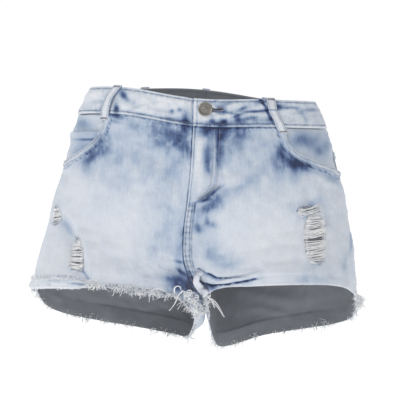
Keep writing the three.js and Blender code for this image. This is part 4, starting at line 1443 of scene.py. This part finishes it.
loop_grids = {}
shares = np.linspace(0, 1, LOOP_ROWS)
for number, loop in enumerate(LOOPS):
    name, side, face, rim_x, middle_x, end_x = loop
    asides = (1 if runs_right(side, face) else -1) * np.linspace(-1, 1, LOOP_COLUMNS)
    drop = mix(LOOP_TOP, LOOP_BOTTOM, shares)
    at = np.clip(drop, RIM_AT, LOOP_BOTTOM)
    middle = np.where(
        shares < 0.4, mix(rim_x, middle_x, shares / 0.4), mix(middle_x, end_x, (shares - 0.4) / 0.6)
    )
    wide = LOOP_HALF_WIDTH * (1 + 0.05 * np.sin(9 * shares + number))
    x = middle[:, None] + wide[:, None] * asides
    back = np.empty((LOOP_ROWS, LOOP_COLUMNS, 3))
    outs = np.empty_like(back)
    for part_side, chosen in ((side, x >= 0), ("right", x < 0)):
        if not chosen.any():
            continue
        down = np.broadcast_to(at[:, None], x.shape)
        across = np.array([across_at(part_side, face, abs(u), v) for u, v in zip(x[chosen], down[chosen])])
        back[chosen] = draped_form(part_side, face, across, down[chosen])
        outs[chosen] = normals_of(draped_form, part_side, face, across, down[chosen])
    stand = mix(0, BAND_OUT, 1 - ramp(drop, -0.012, 0.012)) + 1.0
    stand = stand + LOOP_STAND * np.sin(math.pi * np.clip((shares - 0.06) / 0.88, 0, 1)) ** 0.7
    back[..., 2] += ((at - drop) * (BAND_HEIGHT / -RIM_AT))[:, None]
    inner = back + outs * stand[:, None, None]
    groove = 0.45 * hump(np.abs(asides), 0.62, 0.12)
    round_off = np.sqrt(1 - np.abs(asides) ** 5)
    ripple = 0.18 * np.sin(shares[:, None] * 46 + 3 * asides + number) * round_off
    outer = inner + outs * (LOOP_THICK * (0.5 + 0.5 * round_off) - groove + ripple)[..., None]
    edge = np.abs(asides)[None, :]
    rough = speckle(np.arange(LOOP_ROWS)[:, None] / 2.2, asides[None, :] * 2, 60 + number)
    # Darker in the stitch grooves, partly indigo kept in them and partly painted shade; painted shade round
    # the loop's edges, and a painted shade line in the crease of the front left loop.
    wash = 0.08 + 0.05 * rough + 0.3 * hump(edge, 0.62, 0.13) * (0.6 + 0.4 * rough)
    wash = wash + 0.6 * ramp(edge, 0.9, 1.0)
    if name == "belt_loop_front_left":
        wash = wash + 0.5 * hump(shares[:, None], 0.36, 0.02)
    uv = np.stack(np.broadcast_arrays(asides[None, :] * LOOP_HALF_WIDTH, shares[:, None] * 48), -1) * MM
    strap = shell(name, outer, inner, np.clip(wash, 0, 1), uv, materials=[washed_denim, washed_denim])
    loop_grids[name] = (outer, outs)
    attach(strap, "root")
    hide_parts(name)


# The button. A stamped metal cap with a rolled rim, a sunk ring and a low boss, pressed on a
# rivet through the right half's end. It has a worn pewter finish, darker in its sunk parts.
BUTTON_PROFILE = [
    # radius and height above the cloth
    (0, -1.3),
    (2.4, -1.3),
    (2.4, 1.6),
    (8.6, 1.6),
    (9.3, 2.0),
    (9.6, 2.9),
    (9.4, 3.8),
    (8.8, 4.3),
    (8.1, 4.3),
    (7.5, 3.9),
    (7.0, 3.6),
    (6.0, 3.7),
    (4.6, 3.8),
    (3.6, 3.7),
    (3.1, 3.75),
    (2.6, 4.3),
    (1.8, 4.5),
    (0.9, 4.3),
    (0.0, 4.1),
]
BUTTON_TURNS = 72

pewter, pewter_tree = new_material("worn_pewter")
place = add_node(pewter_tree, "ShaderNodeTexCoord").outputs["Object"]
mottle = add_node(pewter_tree, "ShaderNodeTexNoise", {}, {"Vector": place, "Scale": 700.0, "Detail": 4.0})
cavity = add_node(pewter_tree, "ShaderNodeAttribute", {"attribute_name": "sunk"}).outputs["Fac"]
tarnish = add_node(
    pewter_tree, "ShaderNodeMath", {"operation": "MULTIPLY_ADD"}, {0: mottle.outputs[0], 1: 0.7, 2: -0.25}
)
tarnish = add_node(pewter_tree, "ShaderNodeMath", {"operation": "ADD"}, {0: tarnish.outputs[0], 1: cavity})
shade = add_node(pewter_tree, "ShaderNodeValToRGB", {}, {"Fac": tarnish.outputs[0]})
shade.color_ramp.elements[0].color = colour("#9C9992")
shade.color_ramp.elements[1].color = colour("#56524C")
rubbed = add_node(
    pewter_tree, "ShaderNodeMath", {"operation": "MULTIPLY_ADD"}, {0: tarnish.outputs[0], 1: 0.25, 2: 0.36}
)
dents = add_node(
    pewter_tree, "ShaderNodeBump", {}, {"Strength": 0.25, "Distance": 0.0002, "Height": mottle.outputs[0]}
)
finish_material(
    pewter_tree,
    {
        "Base Color": shade.outputs[0],
        "Metallic": 0.9,
        "Roughness": rubbed.outputs[0],
        "Normal": dents.outputs[0],
    },
)

profile = np.array(BUTTON_PROFILE)
angles = np.linspace(0, 2 * math.pi, BUTTON_TURNS, endpoint=False)
rings = seat + (
    profile[:, 0, None, None] * (np.cos(angles)[:, None] * seat_right + np.sin(angles)[:, None] * seat_up)
    + profile[:, 1, None, None] * seat_out
)
index = np.arange(len(profile) * BUTTON_TURNS).reshape(len(profile), BUTTON_TURNS)
faces = np.stack([index[:-1], np.roll(index[:-1], -1, 1), np.roll(index[1:], -1, 1), index[1:]], -1)
sunk = 0.55 * hump(profile[:, 0], 7.1, 0.8) + 0.8 * hump(profile[:, 0], 0, 1.1)
sunk += 0.35 * hump(profile[:, 0], 3.3, 0.6)
cap = mesh_object(
    "jeans_button",
    rings.reshape(-1, 3),
    faces.reshape(-1, 4),
    [pewter],
    values={"sunk": np.repeat(sunk, BUTTON_TURNS)},
)
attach(cap, "root")
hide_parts("button")


# Topstitching. Thick cotton thread in pale grey, with a stitch of 2.6 mm and a short gap, in
# twin rows on the felled seams and the pocket mouths and single rows on the band. The thread
# dips into the cloth between stitches.
STITCH_PITCH = 3.2
STITCH_LENGTH = 2.5
THREAD_RADIUS = 0.34


def cotton(name, stops):
    """Twisted cotton thread, whose shade follows how much indigo it has kept."""
    material, tree = new_material(name)
    place = add_node(tree, "ShaderNodeTexCoord").outputs["Object"]
    fuzz = add_node(tree, "ShaderNodeTexNoise", {}, {"Vector": place, "Scale": 1400.0, "Detail": 3.0})
    indigo = add_node(tree, "ShaderNodeAttribute", {"attribute_name": "wash"}).outputs["Fac"]
    left = add_node(
        tree, "ShaderNodeMath", {"operation": "MULTIPLY_ADD"}, {0: fuzz.outputs[0], 1: 0.3, 2: -0.15}
    )
    left = add_node(tree, "ShaderNodeMath", {"operation": "ADD"}, {0: left.outputs[0], 1: indigo})
    shades = add_node(tree, "ShaderNodeValToRGB", {}, {"Fac": left.outputs[0]})
    while len(shades.color_ramp.elements) < len(stops):
        shades.color_ramp.elements.new(0.5)
    for element, (at, shade) in zip(shades.color_ramp.elements, stops):
        element.position = at
        element.color = colour(shade)
    twist = add_node(
        tree, "ShaderNodeBump", {}, {"Strength": 0.4, "Distance": 0.0002, "Height": fuzz.outputs[0]}
    )
    finish_material(
        tree,
        {
            "Base Color": shades.outputs[0],
            "Roughness": 0.9,
            "Specular IOR Level": 0.2,
            "Sheen Weight": 0.2,
            "Sheen Roughness": 0.5,
            "Normal": twist.outputs[0],
        },
    )
    return material


# Loose weft is nearly white. A few loose warp ends are still blue.
loose_cotton = cotton(
    "loose_cotton", [(0.0, "#FAFAFB"), (0.35, "#E2E5EA"), (0.7, "#98A6BC"), (1.0, "#4F5E82")]
)
seam_thread = cotton("seam_thread", [(0.0, "#CBCCCF"), (0.5, "#A2A4AB"), (1.0, "#787B86")])
rose_thread = cotton("rose_thread", [(0.0, "#B0ADB1"), (0.5, "#939099"), (1.0, "#70707F")])


def tubes(name, paths, radii, material, wash):
    """Many thin tapered tubes as one piece: paths of the same number of points each, in mm."""
    count, steps = paths.shape[:2]
    ahead = np.gradient(paths, axis=1)
    ahead /= np.maximum(np.linalg.norm(ahead, axis=-1, keepdims=True), 1e-9)
    aside = np.cross([0.31, 0.83, 0.46], ahead)
    aside /= np.maximum(np.linalg.norm(aside, axis=-1, keepdims=True), 1e-9)
    other = np.cross(ahead, aside)
    corners = [paths + radii[..., None] * way for way in (aside, other, -aside, -other)]
    points = np.stack(corners, 2).reshape(-1, 3)
    ring = np.arange(count * steps * 4).reshape(count, steps, 4)
    walls = np.stack(
        [ring[:, :-1], np.roll(ring, -1, 2)[:, :-1], np.roll(ring, -1, 2)[:, 1:], ring[:, 1:]], -1
    )
    faces = np.concatenate([walls.reshape(-1, 4), ring[:, 0, ::-1], ring[:, -1]])
    shade = np.broadcast_to(np.asarray(wash, float).reshape(-1, 1, 1), (count, steps, 4)).ravel()
    piece = mesh_object(name, points, faces, [material], values={"wash": shade})
    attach(piece, "root")
    return piece


def stitches_on(points, outs, rows):
    """Adds to rows the path of every stitch along a line of points with their outward ways."""
    length = np.concatenate([[0], np.cumsum(np.linalg.norm(np.diff(points, axis=0), axis=1))])
    for start in np.arange(0.4, length[-1] - STITCH_LENGTH, STITCH_PITCH):
        at = start + np.linspace(0, STITCH_LENGTH, 5)
        place = np.stack([np.interp(at, length, points[:, k]) for k in range(3)], -1)
        out = np.stack([np.interp(at, length, outs[:, k]) for k in range(3)], -1)
        rows.append(place + out * np.array([-0.35, 0.18, 0.3, 0.18, -0.35])[:, None])


def panel_line(side, face, across, down, lift, rows):
    """A row of stitching on a panel, from a list of places across and down."""
    a, d = np.broadcast_arrays(np.asarray(across, float), np.asarray(down, float))
    points, outs = on_cloth(side, face, a, d, lift(a, d) + 0.1)
    stitches_on(points, outs, rows)


def down_where(side, face, across, measure, goal, low, high):
    """The first place down each column where a measure reaches a goal."""
    d = mix(np.asarray(low)[None, :], np.asarray(high)[None, :], np.linspace(0, 1, 90)[:, None])
    a = np.broadcast_to(across, d.shape)
    p = base_form(side, face, a, d)
    reached = measure(p[..., 0], p[..., 2]) >= goal
    first = np.argmax(reached, axis=0)
    return d[first, np.arange(d.shape[1])]


def stitch_piece(name, rows, material):
    paths = np.array(rows)
    radii = THREAD_RADIUS * np.broadcast_to([0.6, 1, 1, 1, 0.6], paths.shape[:2])
    shade = 0.5 + 0.5 * speckle(paths[:, 2, 0] / 5, paths[:, 2, 2] / 5, 81)
    return tubes(name, paths, radii, material, shade)


mouth_rows = []
for side in SIDES:
    start = across_at(side, "front", MOUTH_START + 9, 0.1)
    across = np.linspace(start, 0.995, 120)
    low = mouth_down(side, across)
    for goal in (1.9, 7.0):
        down = down_where(
            side, "front", across, lambda x, z: nearest(MOUTH_LINES[side], x, z), goal, low, low + 0.12
        )
        panel_line(side, "front", across, down, front_relief(side), mouth_rows)
stitch_piece("mouth_stitching", mouth_rows, seam_thread)

fly_rows = []
down = np.linspace(0.01, 0.62, 200)
for inset in (3.0, -4.0):
    across = np.full(200, 0.15)
    for _ in range(12):
        p = base_form("left", "front", across, down)
        across = across * np.clip((fly_edge(p[:, 2]) - inset) / np.maximum(p[:, 0], 0.1), 0.2, 3)
        across = np.clip(across, 0.002, 0.4)
    inside = (p[:, 2] > FLY_BOTTOM + 3) & (across > 0.01)
    panel_line("left", "front", across[inside], down[inside], front_relief("left"), fly_rows)
stitch_piece("fly_stitching", fly_rows, rose_thread)

seam_rows = []
for face, top in (("front", 0.46), ("back", 0.03)):
    relief = front_relief("left") if face == "front" else back_relief("left", False)
    for inset in (2.0, 7.6):
        down = np.linspace(top, 0.9, 240)
        across = np.full(240, 0.03)
        for _ in range(12):
            x = base_form("left", face, across, down)[:, 0]
            across = across * np.clip(inset / np.maximum(x, 0.1), 0.2, 3)
        panel_line("left", face, across, down, relief, seam_rows)
for side in SIDES:
    across = np.linspace(0.01, 0.99, 220)
    for inset in (2.2, 7.6):
        down = yoke_down(across) + inset / CLOTH_DOWN
        panel_line(side, "back", across, down, back_relief(side, False), seam_rows)
stitch_piece("seam_stitching", seam_rows, seam_thread)

band_rows = []
for side in SIDES:
    for part_side, face, across in BAND_PARTS[side]:
        if side == "right" and part_side == "left":
            continue
        outer, _, _, _ = band_part(part_side, face, across, step=side == "right")
        for goal in (BAND_STITCH, BAND_HEIGHT - BAND_STITCH):
            row = int(np.argmin(np.abs(BAND_SHARES * BAND_HEIGHT - goal)))
            outs = normals_of(draped_form, part_side, face, across, np.full(len(across), RIM_AT / 2))
            stitches_on(outer[row] + outs * 0.2, outs, band_rows)
stitch_piece("band_stitching", band_rows, seam_thread)

loop_rows = []
for outer, outs in loop_grids.values():
    for column in (2, LOOP_COLUMNS - 3):
        stitches_on(outer[2:-2, column] + 0.2 * outs[2:-2, column], outs[2:-2, column], loop_rows)
stitch_piece("loop_stitching", loop_rows, seam_thread)

# Bar tacks: a close zigzag across each end of a belt loop.
tack_rows = []
for outer, outs in loop_grids.values():
    for row, step in ((1, 1), (LOOP_ROWS - 2, -1)):
        for k in range(14):
            share = (k + 0.5) / 14 * (LOOP_COLUMNS - 3) + 1
            j = int(share)
            low = mix(outer[row, j], outer[row, j + 1], share - j) + 0.25 * outs[row, j]
            high = mix(outer[row + 2 * step, j], outer[row + 2 * step, j + 1], share - j + 0.4)
            high = high + 0.25 * outs[row, j]
            tack_rows.append(low + (high - low) * np.linspace(0, 1, 5)[:, None])
stitch_piece("bar_tacks", tack_rows, rose_thread)

# The buttonhole's edge, worked over and over in the same rose thread.
hole_rows = []
for u in np.arange(3.0, HOLE_LENGTH + 0.5, 0.75):
    for turn in (-1, 1):
        bar = seat + u * seat_right + (BAND_OUT + 0.9) * seat_out
        inner_end = bar + turn * 0.8 * seat_up - 0.6 * seat_out
        outer_end = bar + turn * 2.7 * seat_up - 0.2 * seat_out
        middle = bar + turn * 1.7 * seat_up + 0.35 * seat_out
        hole_rows.append(np.stack([inner_end, mix(inner_end, middle, 0.5) + 0.15 * seat_out, middle,
                                   mix(middle, outer_end, 0.5) + 0.1 * seat_out, outer_end]))
stitch_piece("buttonhole_stitching", hole_rows, rose_thread)


# What is left across the rips: white weft threads from one side to the other, most of them
# nearly level, in loose bundles with slits between, and short frays of both threads at the rim.
WEFT_RADIUS = 0.46
GAPS = {
    # how far above the middle of the rip the widest slits are, with their half heights
    "left_thigh": [(14, 0.7), (7, 0.6), (-1, 1.9), (-4.5, 0.8), (-9, 0.6), (-15, 1.0), (-26, 0.8)],
    "left_thigh_nick": [(1.5, 1.0)],
    "right_thigh": [(5, 0.8), (-3, 1.5), (-11, 1.3), (-18, 0.9)],
    "right_hip": [(6, 1.2), (-3, 1.6), (-8, 1.4)],
    "left_hip": [(6, 2.0), (-5, 2.0)],
}
rng = np.random.default_rng(7)


def smooth_walk(count, steps, size):
    """Random curves that start at nothing and wander, for threads that curl."""
    kicks = rng.normal(0, 1, (count, steps, 3))
    for _ in range(2):
        kicks[:, 1:] = 0.5 * kicks[:, 1:] + 0.5 * kicks[:, :-1]
    path = np.cumsum(kicks, axis=1)
    return size * (path - path[:, :1])


def frays(roots, ways, lengths, curl, steps=8, fall=0.5):
    """Paths of loose ends from their roots, each setting out in its own way and then curling."""
    count = len(roots)
    share = np.linspace(0, 1, steps)[None, :, None]
    paths = roots[:, None] + ways[:, None] * lengths[:, None, None] * share
    paths = paths + smooth_walk(count, steps, 1.0) * (curl * lengths / steps)[:, None, None] * 0.8
    paths[..., 2] -= fall * (lengths[:, None] * share[..., 0] ** 2)
    return paths


for rip in RIPS:
    name, side, face, _, _, width, length, lean = rip
    centre, sideways, up, out = RIP_PLACES[name]
    cloth_points = PANEL_POINTS[f"{face}_{side}"]
    near = cloth_points[np.linalg.norm(cloth_points - centre, axis=1) < max(width, length)]
    near_u, near_v = (near - centre) @ sideways, (near - centre) @ up

    def on_rim(u, v):
        """The point of the cloth nearest to a place in the rip's own frame."""
        return near[np.argmin((near_u - u) ** 2 + (near_v - v) ** 2)]

    paths, shade = [], []
    for v in np.arange(-length / 2 + 0.8, length / 2 - 0.8, 0.62):
        if any(abs(v - at) < half for at, half in GAPS[name]) and rng.random() < 0.93:
            continue
        reach = width / 2 * max(0, 1 - (abs(v) / (length / 2)) ** 2.6) ** (1 / 2.4) + 1.6
        shift = v * math.tan(math.radians(lean))
        rise = 0.14 * reach + rng.normal(0, 0.8)
        left, right = on_rim(shift - reach, v - rise), on_rim(shift + reach, v + rise)
        share = np.linspace(0, 1, 9)
        sag = np.sin(math.pi * share)[:, None]
        slack = rng.normal(-0.8, 0.7) * up + rng.normal(0.4, 0.7) * out
        path = mix(left, right, share[:, None]) + sag * slack
        path = path + smooth_walk(1, 9, 0.22)[0] * sag + 0.7 * out
        paths.append(path)
        shade.append(np.clip(rng.normal(0.0, 0.08), 0, 1))
    paths = np.array(paths)
    radii = WEFT_RADIUS * rng.uniform(0.75, 1.35, (len(paths), 1)) * np.ones((1, 9))
    tubes(f"{name}_weft", paths, radii, loose_cotton, shade)

    count = int(4.2 * (width + length))
    angle = rng.uniform(0, 2 * math.pi, count)
    v = np.sin(angle) * length / 2
    reach = width / 2 * np.maximum(0, 1 - np.abs(np.sin(angle)) ** 2.6) ** (1 / 2.4) + 0.6
    u = np.sign(np.cos(angle)) * reach * rng.uniform(0.7, 1, count) + v * math.tan(math.radians(lean))
    roots = np.array([on_rim(a, b) for a, b in zip(u, v)])
    ways = (
        -np.sign(u)[:, None] * sideways * rng.uniform(-0.3, 1, (count, 1))
        + up * rng.normal(0, 0.6, (count, 1))
        + out * rng.uniform(0.1, 0.9, (count, 1))
    )
    ways /= np.linalg.norm(ways, axis=1, keepdims=True)
    paths = frays(roots, ways, rng.uniform(2, 6.5, count), 0.8, fall=0.2)
    taper = np.linspace(1, 0.5, 8)[None, :]
    ends = np.where(np.abs(v) > 0.4 * length, rng.uniform(0.2, 0.9, count), rng.uniform(0, 0.3, count))
    tubes(
        f"{name}_frays", paths, 0.24 * rng.uniform(0.7, 1.3, (count, 1)) * taper, loose_cotton, ends
    )


# The raw hems. Washing has frayed each cut edge into a thick white fringe of weft, tangled with a
# few blue warp ends, with longer threads that curl at the crotch and at the side seams.
HEM_FRINGES = [
    # node, side, face, from, to, number, length and how much is still blue
    ("fringe_front_right", "right", "front", 0.003, 0.997, 1150, 7.5, 0.16),
    ("fringe_front_left_side", "left", "front", 0.93, 0.997, 60, 6, 0.05),
    ("fringe_front_left_crotch", "left", "front", 0.003, 0.06, 60, 6, 0.1),
    ("fringe_back_right", "right", "back", 0.003, 0.997, 620, 6.5, 0.12),
    ("fringe_back_left", "left", "back", 0.003, 0.997, 620, 6.5, 0.12),
]
for node, side, face, start, end, count, length, blue in HEM_FRINGES:
    across = np.sort(rng.uniform(start, end, count))
    low = hem_down(side, across) if face == "front" else np.ones(count)
    edge, out = on_cloth(side, face, across, low, -0.2)
    above, _ = on_cloth(side, face, across, low - 0.03, -0.2)
    downward = edge - above
    downward /= np.linalg.norm(downward, axis=1, keepdims=True)
    along = np.cross(out, downward)
    ways = downward + along * rng.normal(0, 0.55, (count, 1)) + out * rng.normal(0.15, 0.3, (count, 1))
    ways /= np.linalg.norm(ways, axis=1, keepdims=True)
    tufts = 0.7 + 0.5 * speckle(across * 26, across * 0, count) + 0.2 * speckle(across * 90, across * 0, 5)
    lengths = length * np.clip(tufts, 0.25, 1.25) * rng.uniform(0.35, 1.0, count)
    if node == "fringe_front_right":
        lengths *= 1 - 0.7 * ramp(across, 0.42, 0.55)
    roots = edge - downward * rng.uniform(0.3, 6.5, (count, 1)) + out * rng.uniform(0, 1.2, (count, 1))
    paths = frays(roots, ways, lengths, 2.2, fall=0.1)
    radii = 0.48 * rng.uniform(0.6, 1.35, (count, 1)) * np.linspace(1, 0.6, 8)[None, :]
    shade = np.where(rng.random(count) < blue, rng.uniform(0.35, 0.95, count), rng.uniform(0, 0.25, count))
    fringe = tubes(node, paths, radii, loose_cotton, shade)
    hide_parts(node)


# The crotch. Where the four seams meet, the felled seam's cut end has rolled up and out, and
# below it the fringe of both legs has matted into a tangle of curled threads.
def place_at(points):
    """Places on the left front panel from where they show in the photograph, in picture points,
    each with how far it stands out of the cloth, in mm."""
    cloth_points = PANEL_POINTS["front_left"]
    px, py = picture_of(cloth_points)
    result = []
    for x, y, stand in points:
        result.append(cloth_points[np.argmin((px - x) ** 2 + (py - y) ** 2)] + stand * TO_CAMERA)
    result = np.array(result)
    right = np.array([math.cos(AZIMUTH), math.sin(AZIMUTH), 0])
    mm_wide = PICTURE_WIDTH / PICTURE / MM
    px, py = picture_of(result)
    result += (np.array([p[0] for p in points]) - px)[:, None] * mm_wide * right
    result[:, 2] -= (np.array([p[1] for p in points]) - py) * mm_wide
    return result


def through(points, count):
    """A smooth line of count places through a few given ones."""
    points = np.asarray(points, float)
    for _ in range(4):
        middle = np.empty((2 * len(points) - 1, points.shape[1]))
        middle[::2] = points
        middle[1::2] = (points[:-1] + points[1:]) / 2
        middle[2:-2:2] = 0.5 * middle[2:-2:2] + 0.25 * (middle[1:-3:2] + middle[3:-1:2])
        points = middle
    share = np.linspace(0, len(points) - 1, count)
    return np.stack([np.interp(share, range(len(points)), points[:, k]) for k in range(points.shape[1])], -1)


ROLLED_END = [
    # picture point, how far out of the cloth, and radius
    (203, 272, 0.5, 2.8),
    (198, 274, 3.0, 4.2),
    (195.5, 279, 4.5, 3.8),
    (197, 284.5, 5.5, 4.0),
    (200.5, 288.5, 6.5, 5.6),
    (205, 291, 6.5, 7.2),
    (208.5, 294.5, 5.0, 6.0),
]
ROLL_SIDES = 28
ROLL_RINGS = 46
spine = np.column_stack([place_at([p[:3] for p in ROLLED_END]), [p[3] for p in ROLLED_END]])
spine = through(spine, ROLL_RINGS)
ahead = np.gradient(spine[:, :3], axis=0)
ahead /= np.linalg.norm(ahead, axis=1, keepdims=True)
aside = np.cross([0.1, 1.0, 0.2], ahead)
aside /= np.linalg.norm(aside, axis=1, keepdims=True)
other = np.cross(ahead, aside)
turn = np.linspace(0, 2 * math.pi, ROLL_SIDES, endpoint=False)[None, :]
ring = np.arange(ROLL_RINGS)[:, None]
swell = 1 + 0.20 * np.sin(3 * turn + ring / 5) + 0.18 * speckle(turn * 2.5, ring / 3.0, 91)
swell *= np.sqrt(np.clip(np.minimum(ring + 0.3, ROLL_RINGS - 0.7 - ring) / 4, 0.05, 1))
reach = spine[:, 3, None] * swell
points = spine[:, None, :3] + reach[..., None] * (
    np.cos(turn)[..., None] * aside[:, None] + np.sin(turn)[..., None] * other[:, None]
)
index = np.arange(ROLL_RINGS * ROLL_SIDES).reshape(ROLL_RINGS, ROLL_SIDES)
around = np.roll(index, -1, 1)
faces = np.stack([index[:-1], around[:-1], around[1:], index[1:]], -1).reshape(-1, 4)
wash = (0.04 + 0.14 * speckle(turn * 3, ring / 2.0, 92)).ravel()
uv = np.stack(np.broadcast_arrays(turn * 4, ring * 0.7), -1).reshape(-1, 2) * MM
rolled_end = mesh_object(
    "rolled_seam_end", points.reshape(-1, 3), faces, [washed_denim], values={"wash": wash}, uv=uv
)
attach(rolled_end, "root")

# Where the tangle lies, and how many threads it has there: picture points and half sizes.
TANGLE = [
    (193, 298, 5, 4, 24),
    (196, 305, 5, 5, 26),
    (200, 311, 4, 4, 12),
    (205, 298, 4, 3, 14),
    (188, 294, 5, 2, 14),
]
roots, ways = [], []
for x, y, wide, high, count in TANGLE:
    u, v = rng.normal(0, 0.5, (2, count))
    roots.append(place_at([(x + wide * p, y + high * q, 2.0 + 1.5 * rng.random()) for p, q in zip(u, v)]))
    angle = rng.uniform(0, 2 * math.pi, count)
    ways.append(np.stack([np.cos(angle), -0.2 + 0 * angle, np.sin(angle) - 0.3], -1))
roots, ways = np.concatenate(roots), np.concatenate(ways)
count = len(roots)
steps = 14
share = np.linspace(0, 1, steps)[None, :]
loop_size = rng.uniform(1.2, 3.2, (count, 1))
phase = rng.uniform(0, 2 * math.pi, (count, 1)) + share * rng.uniform(4, 10, (count, 1))
paths = roots[:, None] + ways[:, None] * (rng.uniform(2, 8, (count, 1)) * share)[..., None]
paths[..., 0] += loop_size * (np.cos(phase) - np.cos(phase[:, :1]))
paths[..., 2] += loop_size * (np.sin(phase) - np.sin(phase[:, :1]))
paths[..., 1] += 0.6 * np.sin(phase * 1.3)
radii = rng.uniform(0.45, 0.75, (count, 1)) * np.ones((1, steps))
shade = np.where(rng.random(count) < 0.14, rng.uniform(0.3, 0.8, count), rng.uniform(0, 0.2, count))
tubes("crotch_tangle", paths, radii, loose_cotton, shade)

# Longer single threads, each as a few picture points and how far it stands out.
LONG_THREADS = [
    [(204, 294, 3), (210, 299, 4), (216, 305, 4), (221, 312, 3), (224, 317, 3)],
    [(207, 297, 4), (213, 300, 5), (218, 306, 5), (222, 315, 4)],
    [(201, 292, 4), (208, 296, 5), (213, 302, 5), (215, 308, 4)],
    [(183, 290, 3), (178, 296, 4), (176, 302, 4), (173, 307, 3), (170, 310, 3)],
    [(175, 293, 2), (174, 288, 3), (177, 285, 4), (181, 286, 4), (181, 289, 3)],
    [(166, 291, 2), (160, 288, 3), (155, 288, 3), (150, 292, 3)],
    [(196, 300, 3), (193, 306, 4), (195, 312, 4), (200, 315, 3), (204, 312, 3)],
]
paths = []
for thread in LONG_THREADS:
    line = through(place_at(thread), 24)
    for _ in range(2):
        paths.append(line + smooth_walk(1, 24, 0.14)[0] + rng.normal(0, 0.3, 3))
paths = np.array(paths)
radii = 0.55 * np.ones(len(paths))[:, None] * np.linspace(1, 0.6, 24)[None, :]
tubes("long_threads", paths, radii, loose_cotton, rng.uniform(0, 0.12, len(paths)))

# The tuft at the bottom of the wearer's left side seam, where several ends have matted.
edge, _ = on_cloth("left", "front", np.array([0.995]), np.array([1.0]))
count = 110
angle, lean = rng.uniform(0, 2 * math.pi, count), rng.uniform(-1, 0.6, count)
ways = np.stack([0.25 + 0.6 * np.cos(angle), 0.5 * np.sin(angle), lean - 0.3], -1)
ways /= np.linalg.norm(ways, axis=1, keepdims=True)
middle = edge + np.array([2, 0, 1])
roots = middle + rng.normal(0, 1, (count, 3)) * [2.6, 1.5, 3.4]
tuft = frays(roots, ways, rng.uniform(3, 7, count), 2.4, fall=0.1)
radii = 0.38 * rng.uniform(0.7, 1.3, (count, 1)) * np.linspace(1, 0.6, 8)[None, :]
tubes("side_seam_tuft", tuft, radii, loose_cotton, rng.uniform(0, 0.2, count))

# The fuzz of short fibres where the turned-up edge on the wearer's right has been rubbed.
count = 300
across = rng.uniform(0.47, 0.99, count)
down = 0.968 + 0.012 * speckle(across * 14, across * 0, 95) + rng.normal(0, 0.004, count)
edge, out = on_cloth("right", "front", across, down, front_relief("right")(across, down))
ways = out * 0.5 + rng.normal(0, 0.6, (count, 3)) + np.array([0, 0, 0.3])
fuzz = frays(edge, ways, rng.uniform(1.5, 4.5, count), 1.4, fall=0.1)
radii = 0.3 * rng.uniform(0.7, 1.3, (count, 1)) * np.linspace(1, 0.6, 8)[None, :]
tubes("turned_edge_fuzz", fuzz, radii, loose_cotton, rng.uniform(0, 0.15, count))
